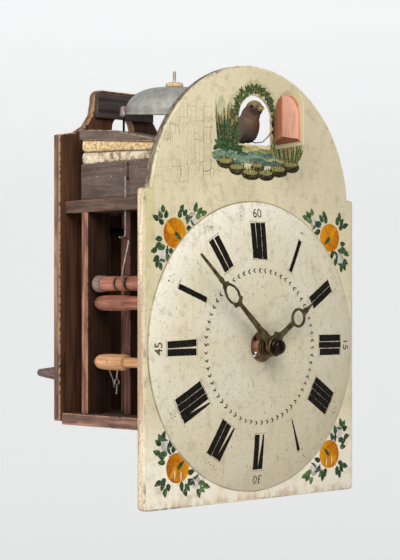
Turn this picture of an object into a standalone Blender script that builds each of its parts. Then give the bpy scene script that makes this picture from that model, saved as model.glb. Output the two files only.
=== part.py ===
"""Black Forest shield clock with bell, bellows, bird and a wooden-frame movement.

Sizes are millimetres in the dial's frame: x to the right, y backwards from the shield's front, z up,
with the dial's centre at 0. place() turns them into metres from the hanging hole at the back.
"""

import math

import bmesh
import bpy
from mathutils import Euler, Matrix, Vector

MM = 0.001

# Fits
GAP = 0.3
PIVOT_GAP = 0.4

# Shield and dial
DIAL_RADIUS = 119.5
DIAL_RISE = 7.0
DIAL_RIM = 0.9
RIM_EASE = 1.0
SIDE_MARGIN = 3.0
FOOT_MARGIN = 7.5
SHOULDER_MARGIN = 6.0
SHOULDER_STEP = 7.0
ARCH_DROP = 9.5
SHIELD_THICK = 9.0
FOOT_ROUND = 4.0
SHOULDER_ROUND = 2.5
CENTRE_HOLE = 12.4

# Door and its wire hinge
DOOR_HALF = 19.0
DOOR_HEIGHT = 40.5
DOOR_HEADROOM = 24.5
JAMB_EDGE = 1.5
JAMB_SPLAY = 9.0
DOOR_THICK = 7.0
DOOR_FIT = 0.7
DOOR_FACE = 0.3
LEAF_OVER = 2.6
LEAF_HIGH = 4.3
LEAF_LOW = 2.4
LEAF_ARCH = 15.0
LEAF_THICK = 1.6
LEAF_CLEAR = 0.45
LEAF_TO_HINGE = 1.0
HINGE_OUT = 3.9
HINGE_FRONT = 1.2
SILL_EDGE = 1.2
STAPLE_TOP = 34.5
STAPLE_FOOT = 4.5
STAPLE_WIRE = 0.4
STAPLE_STAND = 1.3
DOOR_OPEN = math.radians(75)
RIDGE_LEAN = math.radians(11)
SILL_LEAN = math.radians(48)

# Wooden frame, from the shield back to the wall
PLATE_STEP = 3.0
FRONT_ROOM = 14.0
GOING_ROOM = 45.8
STRIKE_ROOM = 47.6
BACK_ROOM = 22.6
STRIP_THICK = 8.0
PLATE_HALF = 67.0
FOOT_PLATE_HALF = 71.0
TOP_PLATE_DROP = 1.0
TOP_PLATE_THICK = 10.5
WHEEL_CLEAR = 7.1
FOOT_PLATE_THICK = 10.0
CENTRE_STRIP_HALF = 22.0
SIDE_STRIP_WIDE = 25.7
INNER_STRIP_WIDE = 9.0
BATTEN_HALF = 56.0
BATTEN_HIGH = 11.2
BATTEN_DEEP = 12.7
PEG_X = 44.0
PEG_IN = 5.0
PEG_RADIUS = 2.5
PEG_PROUD = 3.0
PEG_SHORT = 0.6

# Backboard
BOARD_THICK = 8.0
BOARD_HALF = 73.0
BOARD_FOOT_RISE = 2.9
HOOK_RISE = 67.0
HOOK_RADIUS = 12.5
CREST_RISE = 33.5
CREST_HALF = 33.0
CREST_ROUND = 8.0
CREST_SIDE = 11.0
COVE_HIGH = 30.5
COVE_STEP = 1.0
EAR_WIDE = 7.0
CLEAT_OVER = 0.5
CLEAT_THICK = 4.0
CLEAT_HIGH = 22.0
CLEAT_DROP = 3.0
CLEAT_EDGE = 0.6
STANDOFF_LONG = 28.0
STANDOFF_ROOT = 6.5
STANDOFF_TIP = 3.2
STANDOFF_RISE = 41.0
STANDOFF_IN = 7.0

# Bell and hammer
BELL_BEHIND = 10.2
BELL_RISE = 75.0
BELL_RADIUS = 42.5
BELL_HIGH = 24.5
BELL_WALL = 2.2
BELL_BORE = 1.6
COLLAR_RADIUS = 7.8
COLLAR_HIGH = 4.5
COLLAR_EDGE = 0.8
ROD_RADIUS = 1.6
ROD_PROUD = 13.0
SEAT_RADIUS = 5.5
SEAT_THICK = 2.0
ROD_FOOT_RADIUS = 6.0
ROD_FOOT_HIGH = 3.0
HAMMER_DROP = 16.0
HAMMER_ARBOR = 3.6
HAMMER_WIRE = 1.1
HAMMER_CLEAR = 1.2
HEAD_RADIUS = 3.6
HEAD_HIGH = 10.5
HEAD_BELOW_RIM = 1.5
STEM_OUT = 3.5
STEM_KNEE = 3.5
STEM_BEND = 22.0
TAIL_OUT = 12.0
TAIL_LONG = 22.0
SLOT_HALF = 3.1
SLOT_FRONT = 8.0
SLOT_BACK = 14.0

# Bellows, pipes and lift wire
BELLOWS_EDGE = 5.0
BELLOWS_WIDE = 29.0
BELLOWS_START = 38.0
BELLOWS_DEEP = 100.0
PIPE_HIGH = 30.9
PIPE_EDGE = 0.5
FRONT_OPEN = 12.8
BACK_OPEN = 21.5
LID_THICK = 8.8
LID_TOE = 2.0
LID_TAPER = 56.0
LID_OVER = 1.0
LEATHER_INSET = 2.4
FOLD_OUT = 2.0
FOLD_IN = 1.5
MOUTH_START = 8.0
MOUTH_WIDE = 12.0
MOUTH_DEEP = 12.0
MOUTH_RISE = 8.2
MOUTH_HIGH = 15.0
LIFT_BEHIND = 1.2
LIFT_OUT = 2.4
LIFT_WIRE = 0.7
LIFT_HOLE = 1.4
LIFT_RISE = 17.5
LIFT_INTO = 1.5
LIFT_TOE = 1.8
LIFT_OVER_LOOP = 0.4
SLOT_RISE = 13.5
SLOT_HIGH = 16.0
SLOT_INTO = 7.0
SLOT_WIDE = 3.2

# Lever arbors
LEVER_IN = 8.7
LIFTING_Z = 52.4
LOCKING_Z = 35.9
COUNT_Z = -14.4
LEVER_RADIUS = 6.2
LEVER_END = 3.4
LEVER_PIVOT = 4.0
LOOP_HIGH = 38.8
LOOP_OUT = 8.0
LOOP_WIRE = 0.8
LEVER_WIRE = 0.9
LIFT_TAIL = 22.0
LOCK_ARM = 30.0
DROP_LONG = 27.0
DROP_OUT = 7.6
FEELER_LONG = 22.0

# Gear pairs: teeth of the wheel and of the pinion, and the module of the pair
GREAT_TEETH = (60, 6)
GREAT_MODULE = 1.08
SECOND_TEETH = (48, 6)
SECOND_MODULE = 0.98
STRIKE_TEETH = (48, 6)
STRIKE_MODULE = 1.5
PIN_TEETH = (48, 6)
PIN_MODULE = 0.9375
WARNING_TEETH = (36, 6)
WARNING_MODULE = 0.9
DRIVE_TEETH = (20, 20)
DRIVE_MODULE = 1.0
CANNON_TEETH = (24, 8)
CANNON_MODULE = 1.125
HOUR_TEETH = (24, 6)
HOUR_MODULE = 1.2
POINTED_FROM = 20

# Wheels and arbors
STRIKE_Z = -14.0
WHEEL_THICK = 2.2
WHEEL_RIM = 4.0
ARM_HALF = 2.2
ARM_COUNT = 3
PINION_WIDE = 7.0
SHAFT_RADIUS = 1.5
SHAFT_SHORT = 3.0
HUB_RADIUS = 5.0
HUB_LONG = 13.0
PULLEY_RADIUS = 15.0
PULLEY_GROOVE = 11.0
PULLEY_WIDE = 12.0
ESCAPE_TEETH = 30
ESCAPE_RADIUS = 17.0
ANCHOR_RISE = 30.0
ANCHOR_THICK = 3.0
CRUTCH_LONG = 70.0
CRUTCH_BEHIND = 10.6
CRUTCH_WIRE = 1.0
FORK_HALF = 4.0
FORK_DEEP = 6.0
PIN_COUNT = 8
PIN_CIRCLE = 20.2
PIN_LONG = 5.0
PIN_RADIUS = 0.9
FLY_HALF = 12.0
FLY_WIDE = 20.0
FLY_THICK = 1.2
FLY_TURN = math.radians(30)

# Motion work and hands
MOTION_TURN = math.radians(30)
STUD_RADIUS = 1.6
STUD_INTO = 7.0
MOTION_STUD_RADIUS = 1.2
PIPE_WALL = 1.2
MOTION_WHEEL = 1.8
CANNON_WIDE = 4.0
MOTION_LEAVES = 7.4
HAND_LIFT = 9.0
HAND_STEP = 5.0
HAND_THICK = 1.2
MINUTE_LONG = 111.0
MINUTE_BOSS = 7.5
MINUTE_BOW = 7.2
HOUR_LONG = 64.0
HOUR_BOSS = 9.0
HOUR_RING = 7.8
HOUR_EYE = 5.0
WASHER_RADIUS = 6.6
WASHER_THICK = 2.0
NUT_RADIUS = 5.4
NUT_HIGH = 7.4
MINUTE_ANGLE = math.radians(-48)
HOUR_ANGLE = math.radians(56)

# Bird, its slide and the wire to the door
BIRD_Y = 7.5
BIRD_RISE = 16.0
BIRD_WIDE = 9.2
BIRD_DEEP = 9.6
BIRD_TALL = 14.6
BIRD_HEAD = 7.2
HEAD_FORWARD = 6.5
HEAD_ABOVE = 14.0
BEAK_LONG = 7.0
BEAK_ROOT = 2.4
BEAK_TIP = 0.5
TAIL_HALF = 5.0
TAIL_START = 4.5
TAIL_DEEP = 7.5
TAIL_HIGH = 9.8
CARRIAGE_RISE = 1.7
CARRIAGE_HALF = 4.0
CARRIAGE_HIGH = 4.8
CARRIAGE_LONG = 37.2
RAIL_HALF = 9.0
RAIL_START = 21.2
RAIL_DEEP = 12.0
RAIL_OVER = 5.0
LINK_REACH = 15.6
LINK_WIRE = 0.55


def spread(teeth, module):
    """The distance between the arbors of a gear pair."""
    return sum(teeth) * module / 2


# Values that follow from those above
GREAT_Z = -spread(DRIVE_TEETH, DRIVE_MODULE)
SECOND_Z = GREAT_Z + spread(GREAT_TEETH, GREAT_MODULE)
ESCAPE_Z = SECOND_Z + spread(SECOND_TEETH, SECOND_MODULE)
ANCHOR_Z = ESCAPE_Z + ANCHOR_RISE
PIN_Z = STRIKE_Z + spread(STRIKE_TEETH, STRIKE_MODULE)
WARNING_Z = PIN_Z + spread(PIN_TEETH, PIN_MODULE)
FLY_SPREAD = spread(WARNING_TEETH, WARNING_MODULE)
FLY_X = FLY_SPREAD * math.cos(FLY_TURN)
FLY_Z = WARNING_Z + FLY_SPREAD * math.sin(FLY_TURN)
MOTION_SPREAD = spread(CANNON_TEETH, CANNON_MODULE)
MOTION_X = MOTION_SPREAD * math.cos(MOTION_TURN)
MOTION_Z = MOTION_SPREAD * math.sin(MOTION_TURN)
SHIELD_HALF = DIAL_RADIUS + SIDE_MARGIN
SHIELD_FOOT = -DIAL_RADIUS - FOOT_MARGIN
SHOULDER = DIAL_RADIUS + SHOULDER_MARGIN
ARCH_RADIUS = SHIELD_HALF - SHOULDER_STEP
ARCH_CENTRE = SHOULDER - ARCH_DROP
DOOR_TOP = ARCH_CENTRE + ARCH_RADIUS - DOOR_HEADROOM
DOOR_FOOT = DOOR_TOP - DOOR_HEIGHT
PLATE_FRONT = SHIELD_THICK + PLATE_STEP
FRONT_STRIP = PLATE_FRONT + FRONT_ROOM
GOING_START = FRONT_STRIP + STRIP_THICK
MIDDLE_STRIP = GOING_START + GOING_ROOM
STRIKE_START = MIDDLE_STRIP + STRIP_THICK
BACK_STRIP = STRIKE_START + STRIKE_ROOM
FRAME_BACK = BACK_STRIP + STRIP_THICK
BOARD_FRONT = FRAME_BACK + BACK_ROOM
WALL_Y = BOARD_FRONT + BOARD_THICK
TOP_PLATE = SHOULDER - TOP_PLATE_DROP
TOP_PLATE_UNDER = TOP_PLATE - TOP_PLATE_THICK
FOOT_PLATE = GREAT_Z - GREAT_TEETH[0] * GREAT_MODULE / 2 - WHEEL_CLEAR
FOOT_PLATE_UNDER = FOOT_PLATE - FOOT_PLATE_THICK
ON_PLATE = TOP_PLATE + GAP
HOOK_Z = TOP_PLATE + HOOK_RISE
CREST_TOP = HOOK_Z + CREST_RISE
BOARD_FOOT = FOOT_PLATE_UNDER + BOARD_FOOT_RISE
SIDE_STRIP_OUT = PLATE_HALF - GAP
SIDE_STRIP_IN = SIDE_STRIP_OUT - SIDE_STRIP_WIDE
BELL_Y = STRIKE_START + BELL_BEHIND
BELL_RIM = TOP_PLATE + BELL_RISE
BELL_TOP = BELL_RIM + BELL_HIGH
HEAD_X = -CENTRE_STRIP_HALF + GAP
HAMMER_Y = BELL_Y + math.sqrt((BELL_RADIUS + HEAD_RADIUS + HAMMER_CLEAR) ** 2 - HEAD_X**2)
HAMMER_Z = TOP_PLATE_UNDER - HAMMER_DROP
STEM_X = -CENTRE_STRIP_HALF - STEM_OUT
BELLOWS_OUT = PLATE_HALF - BELLOWS_EDGE
BELLOWS_IN = BELLOWS_OUT - BELLOWS_WIDE
BELLOWS_FRONT = PLATE_FRONT + BELLOWS_START
BELLOWS_BACK = BELLOWS_FRONT + BELLOWS_DEEP
PIPE_TOP = ON_PLATE + PIPE_HIGH
LIFT_X = -BELLOWS_OUT - LIFT_OUT
LIFT_Y = STRIKE_START + LIFT_BEHIND
LEVER_X = -SIDE_STRIP_OUT + LEVER_IN
MINUTE_PIPE = STUD_RADIUS + GAP + PIPE_WALL
HOUR_PIPE = MINUTE_PIPE + GAP + PIPE_WALL
HOUR_HAND_Y = -DIAL_RISE - HAND_LIFT
MINUTE_HAND_Y = HOUR_HAND_Y - HAND_STEP
WASHER_BACK = -MINUTE_HAND_Y + HAND_THICK / 2 + 2 * GAP
NUT_BACK = WASHER_BACK + WASHER_THICK + PIVOT_GAP
CARRIAGE_Z = DOOR_FOOT + CARRIAGE_RISE

TO_FRONT = Euler((math.pi / 2, 0, 0)).to_matrix().to_4x4()
TO_BACK = Matrix.Rotation(-math.pi / 2, 4, "X")
UPRIGHT = Matrix.Identity(4)
UP = math.pi / 2
DOWN = -math.pi / 2

for old in list(bpy.data.objects):
    bpy.data.objects.remove(old, do_unlink=True)
parts = bpy.data.collections.new("shield_clock")
helpers = bpy.data.collections.new("cutters_and_joins")
for group in (parts, helpers):
    bpy.context.scene.collection.children.link(group)


def finish(name, colour, roughness, metallic=0.0):
    material = bpy.data.materials.new(name)
    material.use_nodes = True
    shader = material.node_tree.nodes["Principled BSDF"]
    shader.inputs["Base Color"].default_value = (*colour, 1)
    shader.inputs["Roughness"].default_value = roughness
    shader.inputs["Metallic"].default_value = metallic
    return material


CREAM = finish("cream_paint", (0.72, 0.63, 0.45), 0.5)
BEECH = finish("aged_beech", (0.36, 0.19, 0.08), 0.65)
DARK_WOOD = finish("dark_softwood", (0.12, 0.07, 0.035), 0.75)
PALE_WOOD = finish("turned_wood", (0.45, 0.27, 0.12), 0.6)
LEATHER = finish("bellows_leather", (0.42, 0.27, 0.14), 0.8)
BRASS = finish("aged_brass", (0.42, 0.32, 0.12), 0.4, 1.0)
IRON = finish("iron_wire", (0.12, 0.11, 0.10), 0.5, 1.0)
BELL_METAL = finish("cast_bell_metal", (0.35, 0.35, 0.33), 0.4, 1.0)
RED_PAINT = finish("red_door_paint", (0.50, 0.15, 0.08), 0.55)
FEATHERS = finish("painted_bird", (0.22, 0.17, 0.11), 0.7)


def place(x, y, z):
    return Vector((x, y - WALL_Y, z - HOOK_Z)) * MM


def add(name, data, at, material, turn=UPRIGHT):
    piece = bpy.data.objects.new(name, data)
    piece.matrix_world = Matrix.Translation(place(*at)) @ turn
    if material:
        piece.data.materials.append(material)
    parts.objects.link(piece)
    return piece


def as_helper(piece):
    parts.objects.unlink(piece)
    helpers.objects.link(piece)
    piece.hide_render = True
    piece.display_type = "WIRE"


def as_mesh(piece):
    """Turns a curve into a welded mesh, so that it can be cut and joined."""
    bpy.context.view_layer.update()
    graph = bpy.context.evaluated_depsgraph_get()
    mesh = bpy.data.meshes.new_from_object(piece.evaluated_get(graph))
    work = bmesh.new()
    work.from_mesh(mesh)
    bmesh.ops.remove_doubles(work, verts=work.verts, dist=1e-6)
    bmesh.ops.recalc_face_normals(work, faces=work.faces)
    work.to_mesh(mesh)
    work.free()
    name, matrix = piece.name, piece.matrix_world.copy()
    bpy.data.objects.remove(piece, do_unlink=True)
    made = bpy.data.objects.new(name, mesh)
    made.matrix_world = matrix
    parts.objects.link(made)
    return made


def boolean(piece, others, operation):
    for other in others:
        as_helper(other)
        modifier = piece.modifiers.new(other.name, "BOOLEAN")
        modifier.operation = operation
        modifier.solver = "EXACT"
        modifier.object = other
    return piece


def cut(piece, *others):
    return boolean(piece, others, "DIFFERENCE")


def join(piece, *others):
    return boolean(piece, others, "UNION")


def span(start, length):
    return (start, start + length)


def either_side(middle, half):
    return (middle - half, middle + half)


def block(name, x, y, z, material, bevel=0.0, origin=None):
    """A box between the given pairs of limits, with its origin at its centre or on a joint's axis."""
    middle = Vector((sum(pair) / 2 for pair in (x, y, z)))
    origin = Vector(origin) if origin else middle
    work = bmesh.new()
    bmesh.ops.create_cube(work, size=1.0)
    for vert in work.verts:
        size = Vector((x[1] - x[0], y[1] - y[0], z[1] - z[0]))
        vert.co = (vert.co * size + middle - origin) * MM
    mesh = bpy.data.meshes.new(name)
    work.to_mesh(mesh)
    work.free()
    piece = add(name, mesh, origin, material)
    if bevel:
        modifier = piece.modifiers.new("edges", "BEVEL")
        modifier.width = bevel * MM
        modifier.segments = 1
    return piece


def flat(name, outlines, at, thick, material, turn=0.0):
    """A flat piece facing the front: closed outlines in x and z, centred on at in depth."""
    curve = bpy.data.curves.new(name, "CURVE")
    curve.dimensions = "2D"
    curve.fill_mode = "BOTH"
    curve.extrude = thick / 2 * MM
    for outline in outlines:
        spline = curve.splines.new("POLY")
        spline.points.add(len(outline) - 1)
        for point, (x, z) in zip(spline.points, outline):
            point.co = (x * MM, z * MM, 0, 1)
        spline.use_cyclic_u = True
    piece = add(name, curve, at, material, TO_FRONT @ Matrix.Rotation(-turn, 4, "Z"))
    return as_mesh(piece)


def turned(name, profile, at, material, turn=UPRIGHT, steps=24):
    """A turned piece from (radius, height) points that run down its outer side."""
    mesh = bpy.data.meshes.new(name)
    last = len(profile) - 1
    edges = [(i, i + 1) for i in range(last)]
    if profile[0][0] > 0:
        edges.append((last, 0))
    mesh.from_pydata([(r * MM, 0, h * MM) for r, h in profile], edges, [])
    piece = add(name, mesh, at, material, turn)
    screw = piece.modifiers.new("turn", "SCREW")
    screw.steps = screw.render_steps = steps
    screw.use_merge_vertices = True
    screw.merge_threshold = 1e-6
    return piece


def rod(name, start, end, radius, material, sides=12):
    """A plain round bar between two points."""
    start, end = Vector(start), Vector(end)
    length = (end - start).length
    profile = [(0, length), (radius, length), (radius, 0), (0, 0)]
    lean = (end - start).to_track_quat("Z", "Y").to_matrix().to_4x4()
    return turned(name, profile, start, material, lean, sides)


def through(name, x, z, y, radius, material, sides=10):
    """A round bar along y between two depths."""
    return rod(name, (x, y[0], z), (x, y[1], z), radius, material, sides)


def wire(name, points, radius, material):
    """A bent wire through its points."""
    origin = Vector(points[0])
    curve = bpy.data.curves.new(name, "CURVE")
    curve.dimensions = "3D"
    curve.bevel_depth = radius * MM
    curve.bevel_resolution = 1
    curve.use_fill_caps = True
    spline = curve.splines.new("POLY")
    spline.points.add(len(points) - 1)
    for point, spot in zip(spline.points, points):
        point.co = (*((Vector(spot) - origin) * MM), 1)
    return as_mesh(add(name, curve, origin, material))


def arc(centre, radius, first, last, count):
    """Points on an arc, with angles in degrees from +x towards +z."""
    turns = [math.radians(first + (last - first) * i / (count - 1)) for i in range(count)]
    return [(centre[0] + radius * math.cos(t), centre[1] + radius * math.sin(t)) for t in turns]


def ring(radius, count=16, centre=(0, 0)):
    return arc(centre, radius, 0, 360 - 360 / count, count)


def mirrored(half):
    """An outline closed by the mirror image of its right half."""
    return half + [(-x, z) for x, z in reversed(half) if abs(x) > 1e-9]


def scaled(shares, across, along):
    return [(x * across, z * along) for x, z in shares]


def toothed(count, module, phase):
    """A wheel's outline with a tooth on the phase angle: pointed teeth, or a pinion's blunt leaves."""
    pitch = 2 * math.pi / count
    radius = count * module / 2
    blunt = ((-0.22, -1.15), (-0.08, 0.75), (0.08, 0.75), (0.22, -1.15))
    pointed = ((-0.27, -1.15), (0, 0.8), (0.27, -1.15))
    outline = []
    for tooth in range(count):
        for share, reach in pointed if count >= POINTED_FROM else blunt:
            turn = phase + (tooth + share) * pitch
            reach = radius + reach * module
            outline.append((reach * math.cos(turn), reach * math.sin(turn)))
    return outline


def crossings(inner, outer):
    """The openings that leave a wheel its arms."""
    openings = []
    for arm in range(ARM_COUNT):
        start, end = 360 * arm / ARM_COUNT, 360 * (arm + 1) / ARM_COUNT
        at_rim = math.degrees(ARM_HALF / outer)
        at_hub = math.degrees(ARM_HALF / inner)
        rim = arc((0, 0), outer, start + at_rim, end - at_rim, 6)
        hub = arc((0, 0), inner, end - at_hub, start + at_hub, 3)
        openings.append(rim + hub)
    return openings


def spoked(name, teeth, module, phase, at, material):
    """A crossed-out wheel."""
    radius = teeth[0] * module / 2
    outlines = [toothed(teeth[0], module, phase)] + crossings(HUB_RADIUS + ARM_HALF, radius - WHEEL_RIM)
    return flat(name, outlines, at, WHEEL_THICK, material)


def pinion(name, teeth, module, phase, at):
    return flat(name, [toothed(teeth[1], module, phase)], at, PINION_WIDE, None)


def in_going(share):
    """A depth in the going train's room, as a share of that room."""
    return GOING_START + share * GOING_ROOM


def in_strike(share):
    return STRIKE_START + share * STRIKE_ROOM


def behind_dial(share):
    return SHIELD_THICK + share * (FRONT_STRIP - SHIELD_THICK)


def make_backboard():
    side = BOARD_HALF - EAR_WIDE
    cove_top = CREST_TOP - CREST_SIDE
    turns = [math.radians(angle) for angle in (0, 22.5, 45, 67.5, 90)]
    cove = [(side - (side - CREST_HALF) * math.sin(t), cove_top - COVE_HIGH * math.cos(t)) for t in turns]
    corner = arc((CREST_HALF - CREST_ROUND, CREST_TOP - CREST_ROUND), CREST_ROUND, 0, 90, 5)
    ear = [(BOARD_HALF, BOARD_FOOT), (BOARD_HALF, cove_top - COVE_HIGH - COVE_STEP)]
    outlines = [mirrored(ear + cove + corner), ring(HOOK_RADIUS, 24, (0, HOOK_Z))]
    flat("backboard", outlines, (0, BOARD_FRONT + BOARD_THICK / 2, 0), BOARD_THICK, BEECH)
    wide = either_side(0, CREST_HALF + CLEAT_OVER)
    high = span(CREST_TOP - CLEAT_DROP, -CLEAT_HIGH)
    block("crest_cleat", wide, span(BOARD_FRONT - GAP, -CLEAT_THICK)[::-1], high[::-1], BEECH, CLEAT_EDGE)
    profile = [(0, STANDOFF_LONG), (STANDOFF_TIP, STANDOFF_LONG), (STANDOFF_ROOT, 0), (0, 0)]
    for side, sign in (("left", -1), ("right", 1)):
        at = (sign * (BOARD_HALF - STANDOFF_IN), WALL_Y + GAP, BOARD_FOOT + STANDOFF_RISE)
        turned("standoff_peg_" + side, profile, at, PALE_WOOD, TO_BACK, 16)


def make_frame():
    deep = (PLATE_FRONT, BOARD_FRONT - GAP)
    over = TOP_PLATE_THICK
    top = block("top_plate", either_side(0, PLATE_HALF), deep, (TOP_PLATE_UNDER, TOP_PLATE), BEECH)
    past = (TOP_PLATE_UNDER - over, TOP_PLATE + over)
    slot = (HAMMER_Y - SLOT_FRONT, HAMMER_Y + SLOT_BACK)
    hammer_slot = block("hammer_slot", either_side(STEM_X, SLOT_HALF), slot, past, None)
    ends = (LIFT_X, LIFT_Y, past[0]), (LIFT_X, LIFT_Y, past[1])
    cut(top, hammer_slot, rod("lift_wire_hole", *ends, LIFT_HOLE, None, 8))
    block("bottom_plate", either_side(0, FOOT_PLATE_HALF), deep, (FOOT_PLATE_UNDER, FOOT_PLATE), BEECH)
    inside = (FOOT_PLATE + GAP, TOP_PLATE_UNDER - GAP)
    going = [(0, GREAT_Z), (0, SECOND_Z), (0, ESCAPE_Z), (0, ANCHOR_Z)]
    strike = [(0, STRIKE_Z), (0, PIN_Z), (0, WARNING_Z), (FLY_X, FLY_Z)]
    rows = (
        ("front", FRONT_STRIP, going + [(0, 0), (MOTION_X, MOTION_Z)]),
        ("middle", MIDDLE_STRIP, going + strike),
        ("back", BACK_STRIP, strike + [(0, ANCHOR_Z)]),
    )
    levers = [(LEVER_X, z) for z in (LIFTING_Z, LOCKING_Z, COUNT_Z)]
    for row, front, pivots in rows:
        if row == "middle":
            inner = (-SIDE_STRIP_IN - INNER_STRIP_WIDE, -SIDE_STRIP_IN)
            make_strip("middle_strip_left", inner, in_strike(0.25), inside, [])
        else:
            make_strip(f"{row}_strip_left", (-SIDE_STRIP_OUT, -SIDE_STRIP_IN), front, inside, levers)
        make_strip(f"{row}_strip_right", (SIDE_STRIP_IN, SIDE_STRIP_OUT), front, inside, [])
        make_strip(f"{row}_strip_centre", either_side(0, CENTRE_STRIP_HALF), front, inside, pivots)


def make_strip(name, x, front, z, pivots):
    """An upright of the frame with its pivot holes."""
    corners = [(x[0], z[0]), (x[1], z[0]), (x[1], z[1]), (x[0], z[1])]
    holes = [ring(SHAFT_RADIUS + PIVOT_GAP, 10, spot) for spot in pivots]
    flat(name, [corners] + holes, (0, front + STRIP_THICK / 2, 0), STRIP_THICK, BEECH)


def make_shield():
    rise = math.degrees(math.asin(ARCH_DROP / ARCH_RADIUS))
    half = arc((SHIELD_HALF - FOOT_ROUND, SHIELD_FOOT + FOOT_ROUND), FOOT_ROUND, -90, 0, 4)
    half += arc((SHIELD_HALF - SHOULDER_ROUND, SHOULDER - SHOULDER_ROUND), SHOULDER_ROUND, 0, 90, 3)
    half += arc((0, ARCH_CENTRE), ARCH_RADIUS, rise, 90, 18)
    middle = (0, SHIELD_THICK / 2, 0)
    board = flat("shield", [mirrored(half)], middle, SHIELD_THICK, CREAM)
    bulge = [(DIAL_RADIUS * s, DIAL_RISE * (1 - s * s)) for s in (0, 0.4, 0.65, 0.84)]
    inside = -SHIELD_THICK / 2
    rim = [(DIAL_RADIUS - RIM_EASE, DIAL_RIM), (DIAL_RADIUS, -DIAL_RIM / 2)]
    rim += [(DIAL_RADIUS, inside), (0, inside)]
    join(board, turned("dial_dome", bulge + rim, (0, 0, 0), None, TO_FRONT, 46))
    past = (-DIAL_RISE - SHIELD_THICK, 2 * SHIELD_THICK)
    hole = through("centre_hole", 0, 0, past, CENTRE_HOLE, None, 28)
    opening = flat("door_opening", [door_outline(0, 0)], middle, SHIELD_THICK * 3, None)
    slope = JAMB_SPLAY / (SHIELD_THICK - JAMB_EDGE)
    rings = []
    for y in (JAMB_EDGE / 2, SHIELD_THICK + JAMB_EDGE):
        outline = door_outline((JAMB_EDGE - y) * slope, max(0, (JAMB_EDGE - y) * slope))
        rings.append([(x, y, z) for x, z in outline])
    cut(board, hole, opening, loft("door_splay", rings, None))
    make_battens()


def make_battens():
    rows = (
        ("upper", "top_plate", ON_PLATE, BATTEN_HIGH, TOP_PLATE_UNDER + PEG_SHORT, PEG_PROUD),
        ("lower", "bottom_plate", FOOT_PLATE_UNDER - GAP, -BATTEN_HIGH, FOOT_PLATE - PEG_SHORT, -PEG_PROUD),
    )
    y = PLATE_FRONT + PEG_IN
    for row, plate, start, high, inner, proud in rows:
        z = span(start, high)
        deep = span(SHIELD_THICK + GAP, BATTEN_DEEP)
        batten = block("shield_batten_" + row, either_side(0, BATTEN_HALF), deep, sorted(z), PALE_WOOD)
        for side, x in (("left", -PEG_X), ("right", PEG_X)):
            ends = (x, y, inner), (x, y, z[1] + proud)
            peg = rod(f"shield_peg_{row}_{side}", *ends, PEG_RADIUS, PALE_WOOD, 10)
            for piece in (batten, bpy.data.objects[plate]):
                ends = (x, y, inner - proud), (x, y, z[1] + 2 * proud)
                cut(piece, rod(f"{piece.name}_{peg.name}", *ends, PEG_RADIUS + GAP, None, 10))


def door_outline(inset, lift):
    """The doorway's outline, smaller by inset at the sides and top and by lift at the foot."""
    half = DOOR_HALF - inset
    centre = DOOR_TOP - DOOR_HALF
    return mirrored([(half, DOOR_FOOT + lift)] + arc((0, centre), half, 0, 90, 9))


def make_bell():
    axis = (0, BELL_Y, 0)
    shares = ((0.353, 1), (0.612, 0.926), (0.812, 0.731), (0.946, 0.388), (1, 0))
    shell = [(r * BELL_RADIUS, BELL_RIM + h * BELL_HIGH) for r, h in shares]
    roof = BELL_TOP - BELL_WALL
    hollow = [(r - BELL_WALL, z - BELL_WALL) for r, z in reversed(shell[:-1])]
    lip = (BELL_RADIUS - BELL_WALL, BELL_RIM)
    profile = [(BELL_BORE, BELL_TOP)] + shell + [lip] + hollow + [(BELL_BORE, roof)]
    turned("bell", profile, axis, BELL_METAL, UPRIGHT, 26)
    foot, top = BELL_TOP + GAP, BELL_TOP + GAP + COLLAR_HIGH
    waist = COLLAR_RADIUS - COLLAR_EDGE
    collar = [(BELL_BORE, top), (waist, top), (COLLAR_RADIUS, top - COLLAR_EDGE)]
    collar += [(COLLAR_RADIUS, foot + COLLAR_EDGE), (waist, foot), (BELL_BORE, foot)]
    turned("bell_collar", collar, axis, PALE_WOOD, UPRIGHT, 18)
    neck = BELL_BORE - GAP
    seat = roof - GAP
    profile = [(0, BELL_TOP + ROD_PROUD), (neck, BELL_TOP + ROD_PROUD), (neck, seat), (SEAT_RADIUS, seat)]
    profile += [(SEAT_RADIUS, seat - SEAT_THICK), (ROD_RADIUS, seat - SEAT_THICK)]
    profile += [(ROD_RADIUS, ON_PLATE + ROD_FOOT_HIGH), (ROD_FOOT_RADIUS, ON_PLATE + ROD_FOOT_HIGH)]
    profile += [(ROD_FOOT_RADIUS, ON_PLATE), (0, ON_PLATE)]
    turned("bell_rod", profile, axis, IRON, UPRIGHT, 14)


def make_hammer():
    x, y, z = STEM_X, HAMMER_Y, HAMMER_Z
    ends = (-SIDE_STRIP_IN + GAP, y, z), (-CENTRE_STRIP_HALF - GAP, y, z)
    arbor = rod("hammer", *ends, HAMMER_ARBOR, IRON, 14)
    tail_x = -CENTRE_STRIP_HALF - TAIL_OUT
    drops = ((0, 0), (0.55, 0.05), (1, 0.14))
    tail = [(tail_x, y - s * TAIL_LONG, z - d * TAIL_LONG) for s, d in drops]
    foot = BELL_RIM - HEAD_BELOW_RIM
    knee = TOP_PLATE + STEM_KNEE
    stem = [(x, y, z), (x, y, knee), (HEAD_X, y, knee + STEM_BEND), (HEAD_X, y, foot + HEAD_HIGH / 8)]
    shares = ((0, 1), (0.78, 1), (1, 0.86), (1, 0.14), (0.72, 0), (0, 0))
    profile = scaled(shares, HEAD_RADIUS, HEAD_HIGH)
    head = turned("hammer_head", profile, (HEAD_X, y, foot), None, UPRIGHT, 16)
    tail = wire("hammer_tail", tail, HAMMER_WIRE, None)
    stem = wire("hammer_stem", stem, HAMMER_WIRE, None)
    join(arbor, tail, stem, head)


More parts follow.
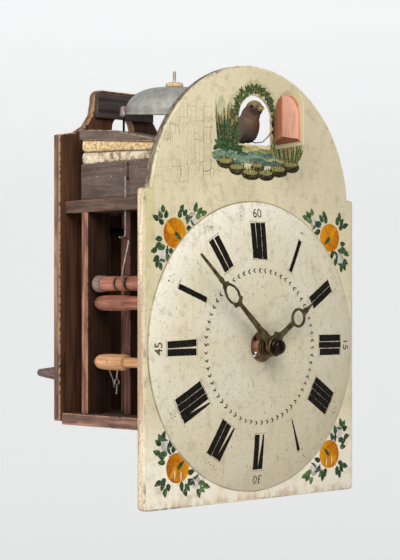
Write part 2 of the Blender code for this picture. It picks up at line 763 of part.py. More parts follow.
def ripple(x, y, z, bulge):
    """A rectangle of the bellows leather at one height of its folds."""
    front, back = y[0] - bulge, y[1] + bulge
    left, right = x[0] - bulge, x[1] + bulge
    return [(left, front, z[0]), (right, front, z[0]), (right, back, z[1]), (left, back, z[1])]


def loft(name, sections, material):
    """Skins sections with the same number of corners each, from the first to the last."""
    work = bmesh.new()
    origin = Vector(sections[0][0])
    rows = [[work.verts.new((Vector(spot) - origin) * MM) for spot in section] for section in sections]
    for low, high in zip(rows, rows[1:]):
        for i in range(len(low)):
            after = (i + 1) % len(low)
            work.faces.new((low[i], low[after], high[after], high[i]))
    work.faces.new(rows[-1])
    work.faces.new(reversed(rows[0]))
    bmesh.ops.recalc_face_normals(work, faces=work.faces)
    mesh = bpy.data.meshes.new(name)
    work.to_mesh(mesh)
    work.free()
    return add(name, mesh, origin, material)


def make_bellows():
    deep = (BELLOWS_FRONT, BELLOWS_BACK)
    edges = (PIPE_TOP + FRONT_OPEN, PIPE_TOP + BACK_OPEN)
    slope = (edges[1] - edges[0]) / BELLOWS_DEEP
    lid_y = (deep[0] - LID_OVER, deep[0] + LID_TAPER, deep[1] + LID_OVER)
    lid_ends = tuple(zip(lid_y, (LID_TOE, LID_THICK, LID_THICK)))
    folds = ((0.0, 0.0), (0.25, FOLD_OUT), (0.5, -FOLD_IN), (0.75, FOLD_OUT), (1.0, 0.0))
    base = PIPE_TOP + GAP
    for side, sign in (("left", -1), ("right", 1)):
        x = sorted((sign * BELLOWS_IN, sign * BELLOWS_OUT))
        pipe = block("pipe_" + side, x, deep, span(ON_PLATE, PIPE_HIGH), DARK_WOOD, PIPE_EDGE)
        mouth_x = sorted((sign * (BELLOWS_IN - MOUTH_DEEP), sign * (BELLOWS_IN + MOUTH_DEEP)))
        mouth_y = span(BELLOWS_FRONT + MOUTH_START, MOUTH_WIDE)
        mouth_z = span(ON_PLATE + MOUTH_RISE, MOUTH_HIGH)
        cut(pipe, block(f"pipe_{side}_mouth", mouth_x, mouth_y, mouth_z, None))
        if side == "left":
            slot_x = (-BELLOWS_OUT - SLOT_INTO, -BELLOWS_OUT + SLOT_INTO)
            slot_y = either_side(LIFT_Y, SLOT_WIDE / 2)
            cut(pipe, block("lift_slot", slot_x, slot_y, span(TOP_PLATE + SLOT_RISE, SLOT_HIGH), None))
        inset = either_side(sum(x) / 2, BELLOWS_WIDE / 2 - LEATHER_INSET)
        inset_y = (deep[0] + LEATHER_INSET, deep[1] - LEATHER_INSET)
        sections = []
        for share, bulge in folds:
            ends = [base + share * (edge - GAP - base) for edge in edges]
            sections.append(ripple(inset, inset_y, ends, bulge))
        loft("bellows_leather_" + side, sections, LEATHER)
        left, right = x[0] - LID_OVER, x[1] + LID_OVER
        lid = []
        for y, thick in lid_ends:
            low, high = span(edges[0] + (y - deep[0]) * slope, thick)
            lid.append([(left, y, low), (right, y, low), (right, y, high), (left, y, high)])
        loft("bellows_lid_" + side, lid, DARK_WOOD)
    top = TOP_PLATE + LIFT_RISE
    foot = LIFTING_Z + LOOP_HIGH + LIFT_OVER_LOOP
    hook = [(-BELLOWS_OUT + LIFT_INTO, LIFT_Y, top), (LIFT_X + LIFT_WIRE / 2, LIFT_Y, top)]
    hook += [(LIFT_X, LIFT_Y, top - LIFT_WIRE), (LIFT_X, LIFT_Y, foot + LIFT_TOE)]
    wire("lift_wire", hook + [(LIFT_X, LIFT_Y + LIFT_TOE, foot)], LIFT_WIRE, IRON)


def make_levers():
    front, back = GOING_START + LEVER_END, BACK_STRIP - LEVER_END
    length = back - front
    pin = LEVER_END + LEVER_PIVOT
    lifting = ((1.16, 0), (1.16, 0.09), (1.03, 0.1), (1.03, 0.265), (0.82, 0.28), (0.82, 0.31))
    lifting += ((1.03, 0.322), (1.03, 0.4), (0.82, 0.415), (0.82, 0.45), (1, 0.465), (1, 0.98))
    locking = ((0.6, 0), (0.92, 0.03), (1.06, 0.1), (1.08, 0.3), (1.04, 0.425), (0.94, 0.44), (0.94, 0.98))
    count = ((0.6, 0), (0.95, 0.03), (1.08, 0.12), (1.13, 0.36), (1.13, 0.385), (0.68, 0.4), (0.68, 0.98))
    rows = (
        ("lifting_arbor", LIFTING_Z, lifting),
        ("locking_arbor", LOCKING_Z, locking),
        ("count_arbor", COUNT_Z, count),
    )
    for name, z, shares in rows:
        profile = [(0, pin), (SHAFT_RADIUS, pin), (SHAFT_RADIUS, 0)]
        profile += scaled(shares, LEVER_RADIUS, -length)
        tip = -length - pin
        profile += [(SHAFT_RADIUS, -length), (SHAFT_RADIUS, tip), (0, tip)]
        arbor = turned(name, profile, (LEVER_X, back, z), PALE_WOOD, TO_BACK, 14)
        join(arbor, *lever_wires(name, z))


def lever_wires(name, z):
    """The wires of one lever, each bent from shares of its reach and standing at a share of the room."""
    bends = {
        "lifting_arbor": (
            ((0, 0), (-0.7, 0.232), (-1, 0.985), (-0.75, 1), (0.25, 0.773), (0.25, 0)),
            LOOP_OUT, LOOP_HIGH, 0.1,
            ((0, 0), (0.545, -0.18), (1, -0.455)), LIFT_TAIL, LIFT_TAIL, 0.508,
        ),
        "locking_arbor": (((0, 0), (0.533, 0.1), (1, 0.4)), LOCK_ARM, LOCK_ARM, 0.592),
        "count_arbor": (
            ((0, 0), (-1, -0.074), (-1, -0.889), (-0.724, -1), (-0.447, -0.889)), DROP_OUT, DROP_LONG, 0.256,
            ((0, 0), (0.364, -0.636), (0.455, -1)), FEELER_LONG, FEELER_LONG, 0.718,
        ),
    }[name]
    wires = []
    for first in range(0, len(bends), 4):
        shares, across, along, depth = bends[first : first + 4]
        points = [(LEVER_X + x, in_strike(depth), z + h) for x, h in scaled(shares, across, along)]
        thick = LOOP_WIRE if along != across else LEVER_WIRE
        wires.append(wire(f"{name}_wire_{first}", points, thick, None))
    return wires


def make_arbor(name, x, z, y, wheel, *more):
    """A wheel, its arbor with a pivot at each end, and what else sits fast on it."""
    join(wheel, through(name + "_shaft", x, z, y, SHAFT_RADIUS, None), *more)


def make_pulley(name, y, z):
    bore = SHAFT_RADIUS - GAP
    third = PULLEY_WIDE / 3
    drum = [(bore, 0), (PULLEY_RADIUS, 0), (PULLEY_GROOVE, -third), (PULLEY_GROOVE, -2 * third)]
    drum += [(PULLEY_RADIUS, -PULLEY_WIDE), (bore, -PULLEY_WIDE)]
    return turned(name, drum, (0, y, z), None, TO_FRONT, 14)


def make_going_train():
    ends = (FRONT_STRIP + SHAFT_SHORT, STRIKE_START - SHAFT_SHORT)
    wheel_y, second_y, escape_y = in_going(0.153), in_going(0.611), in_going(0.852)
    wheel = spoked("going_great_wheel", GREAT_TEETH, GREAT_MODULE, UP, (0, wheel_y, GREAT_Z), BRASS)
    pulley = make_pulley("going_pulley", wheel_y + HUB_RADIUS, GREAT_Z)
    hub_y = span(wheel_y - SHAFT_SHORT, PINION_WIDE + WHEEL_THICK)
    hub = through("going_hub", 0, GREAT_Z, hub_y, HUB_RADIUS, None, 14)
    drive_y = behind_dial(0.818)
    outline = toothed(DRIVE_TEETH[0], DRIVE_MODULE, UP)
    drive = flat("drive_wheel", [outline], (0, drive_y, GREAT_Z), MOTION_WHEEL, None)
    shaft = (drive_y - MOTION_WHEEL, ends[1])
    make_arbor("going_great_wheel", 0, GREAT_Z, shaft, wheel, hub, pulley, drive)
    wheel = spoked("going_second_wheel", SECOND_TEETH, SECOND_MODULE, UP, (0, second_y, SECOND_Z), BRASS)
    phase = DOWN + math.pi / GREAT_TEETH[1]
    leaves = pinion("second_pinion", GREAT_TEETH, GREAT_MODULE, phase, (0, wheel_y, SECOND_Z))
    make_arbor("going_second_wheel", 0, SECOND_Z, ends, wheel, leaves)
    outlines = [escape_outline()] + crossings(ESCAPE_RADIUS * 0.3, ESCAPE_RADIUS * 0.73)
    wheel = flat("escape_wheel", outlines, (0, escape_y, ESCAPE_Z), WHEEL_THICK, BRASS)
    phase = DOWN + math.pi / SECOND_TEETH[1]
    leaves = pinion("escape_pinion", SECOND_TEETH, SECOND_MODULE, phase, (0, second_y, ESCAPE_Z))
    make_arbor("escape_wheel", 0, ESCAPE_Z, ends, wheel, leaves)
    make_anchor(escape_y, ends[0])


def make_anchor(y, pivot):
    arm = ((0.15, -0.083), (0.32, -0.3), (0.587, -0.567), (0.553, -0.667))
    inside = ((0.49, -0.613), (0.23, -0.25), (0, -0.153))
    outline = arc((0, 0), HUB_RADIUS, 90, 0, 5) + scaled(arm + inside, ANCHOR_RISE, ANCHOR_RISE)
    anchor = flat("anchor", [mirrored(outline)], (0, y, ANCHOR_Z), ANCHOR_THICK, IRON)
    back = FRAME_BACK + CRUTCH_BEHIND
    foot = ANCHOR_Z - CRUTCH_LONG
    shaft = (pivot, back - SHAFT_SHORT / 2)
    crutch = [(0, back - SHAFT_SHORT, ANCHOR_Z), (0, back, ANCHOR_Z - SHAFT_SHORT)]
    crutch += [(0, back, foot + FORK_HALF), (-FORK_HALF, back, foot), (-FORK_HALF, back + FORK_DEEP, foot)]
    crutch += [(FORK_HALF, back + FORK_DEEP, foot), (FORK_HALF, back, foot)]
    make_arbor("anchor", 0, ANCHOR_Z, shaft, anchor, wire("crutch", crutch, CRUTCH_WIRE, None))


def escape_outline():
    outline = []
    pitch = 2 * math.pi / ESCAPE_TEETH
    for tooth in range(ESCAPE_TEETH):
        for share, reach in ((0, 0.835), (0.12, 1), (0.62, 0.835)):
            turn = (tooth + share) * pitch
            outline.append((ESCAPE_RADIUS * reach * math.cos(turn), ESCAPE_RADIUS * reach * math.sin(turn)))
    return outline


def make_strike_train():
    ends = (MIDDLE_STRIP + 1.5 * SHAFT_SHORT, FRAME_BACK - SHAFT_SHORT)
    warning_y, pin_y, wheel_y = in_strike(0.193), in_strike(0.361), in_strike(0.634)
    wheel = spoked("strike_great_wheel", STRIKE_TEETH, STRIKE_MODULE, UP, (0, wheel_y, STRIKE_Z), BRASS)
    pulley = make_pulley("strike_pulley", warning_y + SHAFT_RADIUS, STRIKE_Z)
    hub_y = span(wheel_y + SHAFT_SHORT, -HUB_LONG)
    hub = through("strike_hub", 0, STRIKE_Z, hub_y[::-1], HUB_RADIUS, None, 14)
    make_arbor("strike_great_wheel", 0, STRIKE_Z, ends, wheel, hub, pulley)
    wheel = spoked("strike_pin_wheel", PIN_TEETH, PIN_MODULE, UP, (0, pin_y, PIN_Z), BRASS)
    phase = DOWN + math.pi / STRIKE_TEETH[1]
    leaves = pinion("pin_wheel_pinion", STRIKE_TEETH, STRIKE_MODULE, phase, (0, wheel_y, PIN_Z))
    pins = []
    for number, (x, z) in enumerate(ring(PIN_CIRCLE, PIN_COUNT)):
        pin_ends = (pin_y - PIN_LONG, pin_y)
        pins.append(through(f"lifting_pin_{number}", x, PIN_Z + z, pin_ends, PIN_RADIUS, None, 6))
    make_arbor("strike_pin_wheel", 0, PIN_Z, ends, wheel, leaves, *pins)
    at = (0, warning_y, WARNING_Z)
    wheel = spoked("strike_warning_wheel", WARNING_TEETH, WARNING_MODULE, FLY_TURN, at, BRASS)
    phase = DOWN + math.pi / PIN_TEETH[1]
    leaves = pinion("warning_pinion", PIN_TEETH, PIN_MODULE, phase, (0, pin_y, WARNING_Z))
    make_arbor("strike_warning_wheel", 0, WARNING_Z, ends, wheel, leaves)
    fly_y = in_strike(0.676)
    wide, deep = either_side(FLY_X, FLY_HALF), either_side(fly_y, FLY_WIDE / 2)
    high = either_side(FLY_Z, FLY_THICK / 2)
    vane = block("fly", wide, deep, high, BRASS, 0, (FLY_X, fly_y, FLY_Z))
    phase = FLY_TURN + math.pi + math.pi / WARNING_TEETH[1]
    leaves = pinion("fly_pinion", WARNING_TEETH, WARNING_MODULE, phase, (FLY_X, warning_y, FLY_Z))
    make_arbor("fly", FLY_X, FLY_Z, ends, vane, leaves)


def pipe(name, radius, front, back):
    """A brass tube along y, from a depth in front of the shield to one behind it."""
    bore = radius - PIPE_WALL
    profile = [(radius, front), (radius, -back), (bore, -back), (bore, front)]
    return turned(name, profile, (0, 0, 0), None, TO_FRONT, 16)


def make_motion_work():
    stud_end = FRONT_STRIP + STUD_INTO
    bore = STUD_RADIUS + GAP
    sleeve = MINUTE_PIPE - PIPE_WALL / 2
    tip = -NUT_BACK - NUT_HIGH / 2
    through("centre_stud", 0, 0, (tip, stud_end), STUD_RADIUS, IRON, 12)
    drive_y, cannon_y, motion_y = behind_dial(0.818), behind_dial(0.565), behind_dial(0.588)
    leaves_y, hour_y = behind_dial(0.353), behind_dial(0.235)
    motion_front = leaves_y - MOTION_LEAVES / 2 - MOTION_WHEEL / 2
    through("motion_stud", MOTION_X, MOTION_Z, (motion_front, stud_end), MOTION_STUD_RADIUS, IRON, 12)
    phase = DOWN + math.pi / DRIVE_TEETH[1]
    outlines = [toothed(DRIVE_TEETH[1], DRIVE_MODULE, phase), ring(sleeve, 12)]
    wheel = flat("minute_pipe", outlines, (0, drive_y, 0), MOTION_WHEEL, BRASS)
    outlines = [toothed(CANNON_TEETH[1], CANNON_MODULE, MOTION_TURN), ring(sleeve, 12)]
    leaves = flat("cannon_leaves", outlines, (0, cannon_y, 0), CANNON_WIDE, None)
    join(wheel, pipe("minute_tube", MINUTE_PIPE, NUT_BACK, drive_y + MOTION_WHEEL / 2 + GAP), leaves)
    outlines = [toothed(HOUR_TEETH[0], HOUR_MODULE, MOTION_TURN), ring(HOUR_PIPE - PIPE_WALL / 2)]
    wheel = flat("hour_wheel", outlines, (0, hour_y, 0), MOTION_WHEEL, BRASS)
    front = -HOUR_HAND_Y + HAND_THICK / 2 + 2 * PIVOT_GAP
    join(wheel, pipe("hour_tube", HOUR_PIPE, front, hour_y + MOTION_WHEEL / 2 + GAP))
    bore = MOTION_STUD_RADIUS + GAP
    phase = MOTION_TURN + math.pi + math.pi / CANNON_TEETH[0]
    outlines = [toothed(CANNON_TEETH[0], CANNON_MODULE, phase), ring(bore, 12)]
    wheel = flat("motion_wheel", outlines, (MOTION_X, motion_y, MOTION_Z), MOTION_WHEEL, BRASS)
    phase = MOTION_TURN + math.pi + math.pi / HOUR_TEETH[1]
    outlines = [toothed(HOUR_TEETH[1], HOUR_MODULE, phase), ring(bore, 12)]
    join(wheel, flat("motion_leaves", outlines, (MOTION_X, leaves_y, MOTION_Z), MOTION_LEAVES, None))


def make_hands():
    stem = ((0.236, 0.066), (0.18, 0.486), (1, 0.541), (1, 0.613))
    tip = ((0.208, 0.667), (0.389, 0.721), (0.097, 0.973))
    bow = scaled(stem + tip, MINUTE_BOW, MINUTE_LONG)
    minute = mirrored(arc((0, 0), MINUTE_BOSS, -90, 72, 10) + bow + [(0, MINUTE_LONG)])
    eye = ((0, 0.512), (0.667, 0.551), (0.667, 0.602), (0, 0.641))
    eye = mirrored(scaled(eye, MINUTE_BOW, MINUTE_LONG))
    outlines = [minute, eye, ring(MINUTE_PIPE + GAP, 18)]
    flat("minute_hand", outlines, (0, MINUTE_HAND_Y, 0), HAND_THICK, BRASS, MINUTE_ANGLE)
    middle = (0, 0.711 * HOUR_LONG)
    bow = scaled(((0.256, 0.138), (0.178, 0.578)), HOUR_BOSS, HOUR_LONG)
    bow += arc(middle, HOUR_RING, -72, 72, 9)
    bow += scaled(((0.289, 0.875), (0.078, 0.969), (0, 1)), HOUR_BOSS, HOUR_LONG)
    hour = mirrored(arc((0, 0), HOUR_BOSS, -90, 72, 10) + bow)
    outlines = [hour, ring(HOUR_EYE, 16, middle), ring(HOUR_PIPE + GAP, 18)]
    flat("hour_hand", outlines, (0, HOUR_HAND_Y, 0), HAND_THICK, BRASS, HOUR_ANGLE)
    bore = MINUTE_PIPE + GAP
    front = WASHER_BACK + WASHER_THICK
    washer = [(WASHER_RADIUS - PIVOT_GAP, front), (WASHER_RADIUS, front - 2 * PIVOT_GAP)]
    washer += [(WASHER_RADIUS, WASHER_BACK), (bore, WASHER_BACK), (bore, front)]
    turned("hand_washer", washer, (0, 0, 0), BRASS, TO_FRONT, 18)
    shares = ((0, 1), (0.48, 0.92), (0.85, 0.68), (1, 0.32), (1, 0))
    dome = [(r, NUT_BACK + h) for r, h in scaled(shares, NUT_RADIUS, NUT_HIGH)]
    bore = STUD_RADIUS + GAP
    inner = NUT_BACK + NUT_HIGH * 0.6
    dome += [(bore, NUT_BACK), (bore, inner), (0, inner)]
    turned("hand_nut", dome, (0, 0, 0), IRON, TO_FRONT, 16)


def ball(name, centre, radii, rings=8, segments=14):
    work = bmesh.new()
    bmesh.ops.create_uvsphere(work, u_segments=segments, v_segments=rings, radius=1.0)
    for vert in work.verts:
        vert.co = vert.co * Vector(radii) * MM
    mesh = bpy.data.meshes.new(name)
    work.to_mesh(mesh)
    work.free()
    return add(name, mesh, centre, FEATHERS)


def make_bird():
    z = DOOR_FOOT + BIRD_RISE
    bird = ball("bird", (0, BIRD_Y, z), (BIRD_WIDE, BIRD_DEEP, BIRD_TALL))
    at = (0, BIRD_Y - HEAD_FORWARD, z + HEAD_ABOVE)
    head = ball("bird_head", at, (0.97 * BIRD_HEAD, 1.06 * BIRD_HEAD, BIRD_HEAD))
    shares = ((0, BEAK_LONG), (BEAK_TIP, BEAK_LONG), (BEAK_ROOT, 0), (0, 0))
    toward = Matrix.Rotation(math.radians(100), 4, "X")
    at = (0, at[1] - 0.76 * BIRD_HEAD, at[2])
    beak = turned("bird_beak", shares, at, FEATHERS, toward, 10)
    tail_y = span(BIRD_Y + TAIL_START, TAIL_DEEP)
    tail = block("bird_tail", either_side(0, TAIL_HALF), tail_y, span(CARRIAGE_Z, TAIL_HIGH), FEATHERS)
    join(bird, head, beak, tail)
    wide, high = either_side(0, CARRIAGE_HALF), span(CARRIAGE_Z, CARRIAGE_HIGH)
    start = tail_y[1] + GAP
    block("bird_carriage", wide, span(start, CARRIAGE_LONG), high, PALE_WOOD)
    rail_y = span(start + RAIL_START, RAIL_DEEP)
    rail_z = (ON_PLATE, high[1] + RAIL_OVER)
    rail = block("bird_rail", either_side(0, RAIL_HALF), rail_y, rail_z, PALE_WOOD, PIPE_EDGE)
    channel = either_side(0, CARRIAGE_HALF + GAP), (rail_y[0] - RAIL_DEEP, rail_y[1] + RAIL_DEEP)
    cut(rail, block("rail_channel", *channel, (high[0] - GAP, high[1] + GAP), None))
    under = ((0.34, 0.641, 0.237), (0.6, 0.53, 0.18), (0.87, 0.28, 0.23))
    up = ((1, -0.06, 0.55), (1, -0.16, 0.7))
    link = [(x * LINK_REACH, y * LINK_REACH, DOOR_FOOT + h * LINK_REACH) for x, y, h in under + up]
    wire("door_link", link, LINK_WIRE, IRON)


def make_door():
    """The door, drawn shut and then turned open on its wire hinge.

    A thin leaf laps over the doorway's edge, and a ridged block on its inside fills the doorway.
    """
    hinge = (DOOR_HALF + HINGE_OUT, -HINGE_FRONT, 0)
    outline = [(x - hinge[0], z) for x, z in door_outline(DOOR_FIT, DOOR_FIT)]
    frame = Matrix.Translation(place(*hinge)) @ Matrix.Rotation(DOOR_OPEN, 4, "Z") @ TO_FRONT
    slab = flat("door", [outline], hinge, DOOR_THICK, RED_PAINT)
    slab.data.transform(Matrix.Translation((0, 0, (-DOOR_FACE - DOOR_THICK / 2) * MM)))
    slab.matrix_world = frame
    ridge = (-hinge[0], DOOR_FOOT + DOOR_HEIGHT / 2, -DOOR_FACE - DOOR_THICK)
    sill = (-hinge[0], DOOR_FOOT + DOOR_FIT, -DOOR_FACE - SILL_EDGE)
    deep = DOOR_HALF / 2
    trims = (
        ("door_bevel_left", ridge, "Y", RIDGE_LEAN, -DOOR_HALF, DOOR_HALF),
        ("door_bevel_right", ridge, "Y", -RIDGE_LEAN, DOOR_HALF, DOOR_HALF),
        ("door_bevel_foot", sill, "X", -SILL_LEAN, 0, DOOR_HEIGHT),
    )
    for name, at, axis, lean, shift, half in trims:
        limits = either_side(0, half), either_side(0, DOOR_HEIGHT), either_side(0, deep)
        trim = block(name, *limits, None)
        moves = [Matrix.Translation(Vector(spot) * MM) for spot in (at, (shift, 0, -deep))]
        trim.matrix_world = frame @ moves[0] @ Matrix.Rotation(lean, 4, axis) @ moves[1]
        cut(slab, trim)
    left, right = -DOOR_HALF - LEAF_OVER - hinge[0], -LEAF_TO_HINGE
    middle, half, spring = (left + right) / 2, (right - left) / 2, DOOR_TOP + LEAF_HIGH - LEAF_ARCH
    over = [(middle + half * x, spring + LEAF_ARCH * z) for x, z in arc((0, 0), 1, 0, 180, 15)]
    foot = DOOR_FOOT - LEAF_LOW
    leaf = flat("door_leaf", [[(left, foot), (right, foot)] + over], hinge, LEAF_THICK, None)
    leaf.data.transform(Matrix.Translation((0, 0, (LEAF_CLEAR + LEAF_THICK / 2 - HINGE_FRONT) * MM)))
    leaf.matrix_world = frame
    join(slab, leaf)
    x, near, far = hinge[0] + GAP, -STAPLE_WIRE - GAP, -STAPLE_STAND
    top, foot = DOOR_FOOT + STAPLE_TOP, DOOR_FOOT + STAPLE_FOOT
    staple = [(x, near, top), (x, far, top), (x, far, foot), (x, near, foot)]
    wire("door_hinge_staple", staple, STAPLE_WIRE, IRON)


make_backboard()
make_frame()
make_shield()
make_bell()
make_hammer()
make_bellows()
make_levers()
make_going_train()
make_strike_train()
make_motion_work()
make_hands()
make_bird()
make_door()
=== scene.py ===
import math
import random

import bmesh
import bpy
from mathutils import Matrix, Vector, noise


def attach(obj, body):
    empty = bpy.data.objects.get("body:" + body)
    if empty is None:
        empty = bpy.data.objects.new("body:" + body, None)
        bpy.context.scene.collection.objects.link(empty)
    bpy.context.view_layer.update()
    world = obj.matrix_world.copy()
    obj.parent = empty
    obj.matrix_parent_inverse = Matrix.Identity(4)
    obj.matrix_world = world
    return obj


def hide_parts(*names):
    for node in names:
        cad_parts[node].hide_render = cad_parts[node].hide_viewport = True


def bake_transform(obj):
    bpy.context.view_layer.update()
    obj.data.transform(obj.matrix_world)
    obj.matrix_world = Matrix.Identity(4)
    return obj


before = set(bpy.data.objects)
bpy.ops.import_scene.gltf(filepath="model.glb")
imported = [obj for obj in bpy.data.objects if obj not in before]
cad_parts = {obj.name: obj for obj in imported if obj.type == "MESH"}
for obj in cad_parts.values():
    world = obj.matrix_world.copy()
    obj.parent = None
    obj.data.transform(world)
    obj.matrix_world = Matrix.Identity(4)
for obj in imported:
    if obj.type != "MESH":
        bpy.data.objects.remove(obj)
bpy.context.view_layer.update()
scene = bpy.context.scene

# Lengths are millimetres from the dial centre: x right, y back from the shield's face, z up.
rowOffset = Vector((0, -174, -191.5))
chance = random.Random(7)


def spot(x, y, z):
    return (Vector((x, y, z)) + rowOffset) * .001


def linear(code):
    parts = [int(code[i:i + 2], 16) / 255 for i in (1, 3, 5)]
    return tuple(p / 12.92 if p <= .04045 else ((p + .055) / 1.055) ** 2.4 for p in parts) + (1,)


def addNode(tree, kind, inputs=None, **settings):
    node = tree.nodes.new(kind)
    for key, value in settings.items():
        setattr(node, key, value)
    for key, value in (inputs or {}).items():
        if isinstance(value, bpy.types.NodeSocket):
            tree.links.new(value, node.inputs[key])
        else:
            node.inputs[key].default_value = value
    return node


# Finishes. Every pattern is scaled in millimetres of the real surface.

def newFinish(name, roughness=.6, metallic=0, sheen=.5):
    material = bpy.data.materials.new(name)
    material.use_nodes = True
    tree = material.node_tree
    shader = tree.nodes["Principled BSDF"]
    shader.inputs["Roughness"].default_value = roughness
    shader.inputs["Metallic"].default_value = metallic
    shader.inputs["Specular IOR Level"].default_value = sheen
    coords = addNode(tree, "ShaderNodeTexCoord").outputs["Object"]
    return material, tree, shader, coords


def cells(tree, coords, size, detail=4, centre=(0, 0, 0), distortion=0.):
    # noise whose features are about size millimetres, a tuple for a stretched pattern
    sides = size if isinstance(size, tuple) else (size, size, size)
    place = addNode(tree, "ShaderNodeMapping", {"Vector": coords, "Location": centre,
                                                "Scale": [1000 / s for s in sides]})
    return addNode(tree, "ShaderNodeTexNoise", {"Vector": place.outputs[0], "Scale": 1.,
                                                "Detail": detail, "Distortion": distortion}).outputs["Fac"]


def between(tree, value, low, high, start=0., end=1.):
    return addNode(tree, "ShaderNodeMapRange", {"Value": value, "From Min": low, "From Max": high,
                                                "To Min": start, "To Max": end}).outputs[0]


def mixed(tree, amount, first, second, blend="MIX"):
    node = addNode(tree, "ShaderNodeMix", data_type="RGBA", blend_type=blend)
    for socket, value in ((node.inputs[0], amount), (node.inputs[6], first), (node.inputs[7], second)):
        if isinstance(value, bpy.types.NodeSocket):
            tree.links.new(value, socket)
        elif isinstance(value, str):
            socket.default_value = linear(value)
        else:
            socket.default_value = value
    return node.outputs[2]


def maths(tree, operation, first, second=0., third=0.):
    return addNode(tree, "ShaderNodeMath", {0: first, 1: second, 2: third}, operation=operation).outputs[0]


def times(tree, first, second):
    return maths(tree, "MULTIPLY", first, second)


def patchy(tree, coords, pattern, low, high, start=0., end=1.):
    # pattern is what cells takes: size, detail, centre
    return between(tree, cells(tree, coords, *pattern), low, high, start, end)


def dialAxes(tree, coords):
    # millimetres from the dial centre
    place = addNode(tree, "ShaderNodeMapping", {"Vector": coords, "Scale": (1000, 1000, 1000),
                                                "Location": tuple(-rowOffset)}).outputs[0]
    return addNode(tree, "ShaderNodeSeparateXYZ", {"Vector": place}).outputs


def attribute(tree, name):
    return addNode(tree, "ShaderNodeAttribute", attribute_name=name).outputs["Fac"]


def finishUp(tree, shader, colour, height=None, depth=.2, roughness=None):
    tree.links.new(colour, shader.inputs["Base Color"])
    if height is not None:
        bump = addNode(tree, "ShaderNodeBump", {"Height": height, "Distance": depth * .001, "Strength": .8})
        tree.links.new(bump.outputs[0], shader.inputs["Normal"])
    if roughness is not None:
        tree.links.new(roughness, shader.inputs["Roughness"])


def woodFinish(name, dark, light, worn, axis=2, streak=(70, 3.2), grime=.45, roughness=.68, rim=None,
               flecks=None):
    # sawn or planed board: long streaks, dark pores, blotches of smoke; rubbed edges are paler, rims get a
    # paler copy of the wood, partly rubbed and partly painted light, and turned grooves are darkened as
    # painted shade
    material, tree, shader, coords = newFinish(name, roughness, 0, .25)
    run, fine, long = [streak[1]] * 3, [.7] * 3, [6] * 3
    run[axis], fine[axis], long[axis] = streak[0], 14, 38
    streaks = cells(tree, coords, tuple(run), 6, distortion=.4)
    pores = cells(tree, coords, tuple(fine), 3)
    blots = cells(tree, coords, 26, 5)
    colour = mixed(tree, between(tree, streaks, .34, .66), dark, light)
    # rim faces, the narrow sides of a board, take a paler copy of the wood: partly rubbed wood, partly
    # painted light
    if rim:
        edges = mixed(tree, between(tree, streaks, .4, .64), rim, worn)
        edges = mixed(tree, patchy(tree, coords, (tuple(long), 5, (2, 6, 3)), .46, .62, 0, .6), edges, dark)
        colour = mixed(tree, attribute(tree, "rim"), colour, edges)
    colour = mixed(tree, between(tree, pores, .57, .72, 0, .5), colour, "#1c110b")
    colour = mixed(tree, between(tree, blots, .45, .72, 0, grime), colour, "#1c110b")
    rub = times(tree, attribute(tree, "wear"), patchy(tree, coords, (4, 5), .4, .54))
    colour = mixed(tree, rub, colour, worn)
    for tone, size, shift in flecks or ():
        colour = mixed(tree, patchy(tree, coords, (size, 3, shift), .69, .74, 0, .8), colour, tone)
    # painted shade: the turned grooves are darkened
    colour = mixed(tree, attribute(tree, "groove"), colour, "#1d120b")
    height = maths(tree, "SUBTRACT", streaks, between(tree, pores, .55, .7, 0, .6))
    finishUp(tree, shader, colour, height, .25, between(tree, blots, .3, .7, roughness + .1, roughness - .12))
    return material


def metalFinish(name, bright, dull, spots, roughness=.38, size=9., metallic=1, inner=None):
    # old worked metal: uneven tarnish, dark pits, duller where it has oxidised; an optional inner colour,
    # paler and less metallic, is painted light inside a hollow
    material, tree, shader, coords = newFinish(name, roughness, metallic)
    tarnish = cells(tree, coords, size, 6)
    pits = cells(tree, coords, 1.1, 3)
    colour = mixed(tree, between(tree, tarnish, .36, .64), bright, dull)
    colour = mixed(tree, between(tree, pits, .6, .72, 0, .75), colour, spots)
    # painted light: faces inside a hollow take a paler, less metallic colour that stands in for light bounced
    # into it
    if inner:
        inside = attribute(tree, "inside")
        colour = mixed(tree, inside, colour, inner)
        tree.links.new(between(tree, inside, 0, 1, metallic, 0), shader.inputs["Metallic"])
    finishUp(tree, shader, colour, maths(tree, "SUBTRACT", tarnish, pits), .08,
             between(tree, tarnish, .3, .7, roughness - .06, roughness + .2))
    return material


def brushFinish(name, first, second, third, worn="#cdbf9c", wear=.25):
    # hand painted in thin oil colour: shade runs first to third, with streaks and rubbed specks
    material, tree, shader, coords = newFinish(name, .7, 0, .12)
    streaks = cells(tree, coords, (2.2, 3, 2.2), 4, distortion=.8)
    shade = maths(tree, "ADD", attribute(tree, "shade"), between(tree, streaks, .3, .7, -.22, .22))
    colour = mixed(tree, between(tree, shade, 0, .5), first, second)
    colour = mixed(tree, between(tree, shade, .5, 1), colour, third)
    specks = cells(tree, coords, .9, 3)
    colour = mixed(tree, between(tree, specks, .6 - wear * .2, .72 - wear * .2, 0, .85), colour, worn)
    finishUp(tree, shader, colour, streaks, .05)
    return material


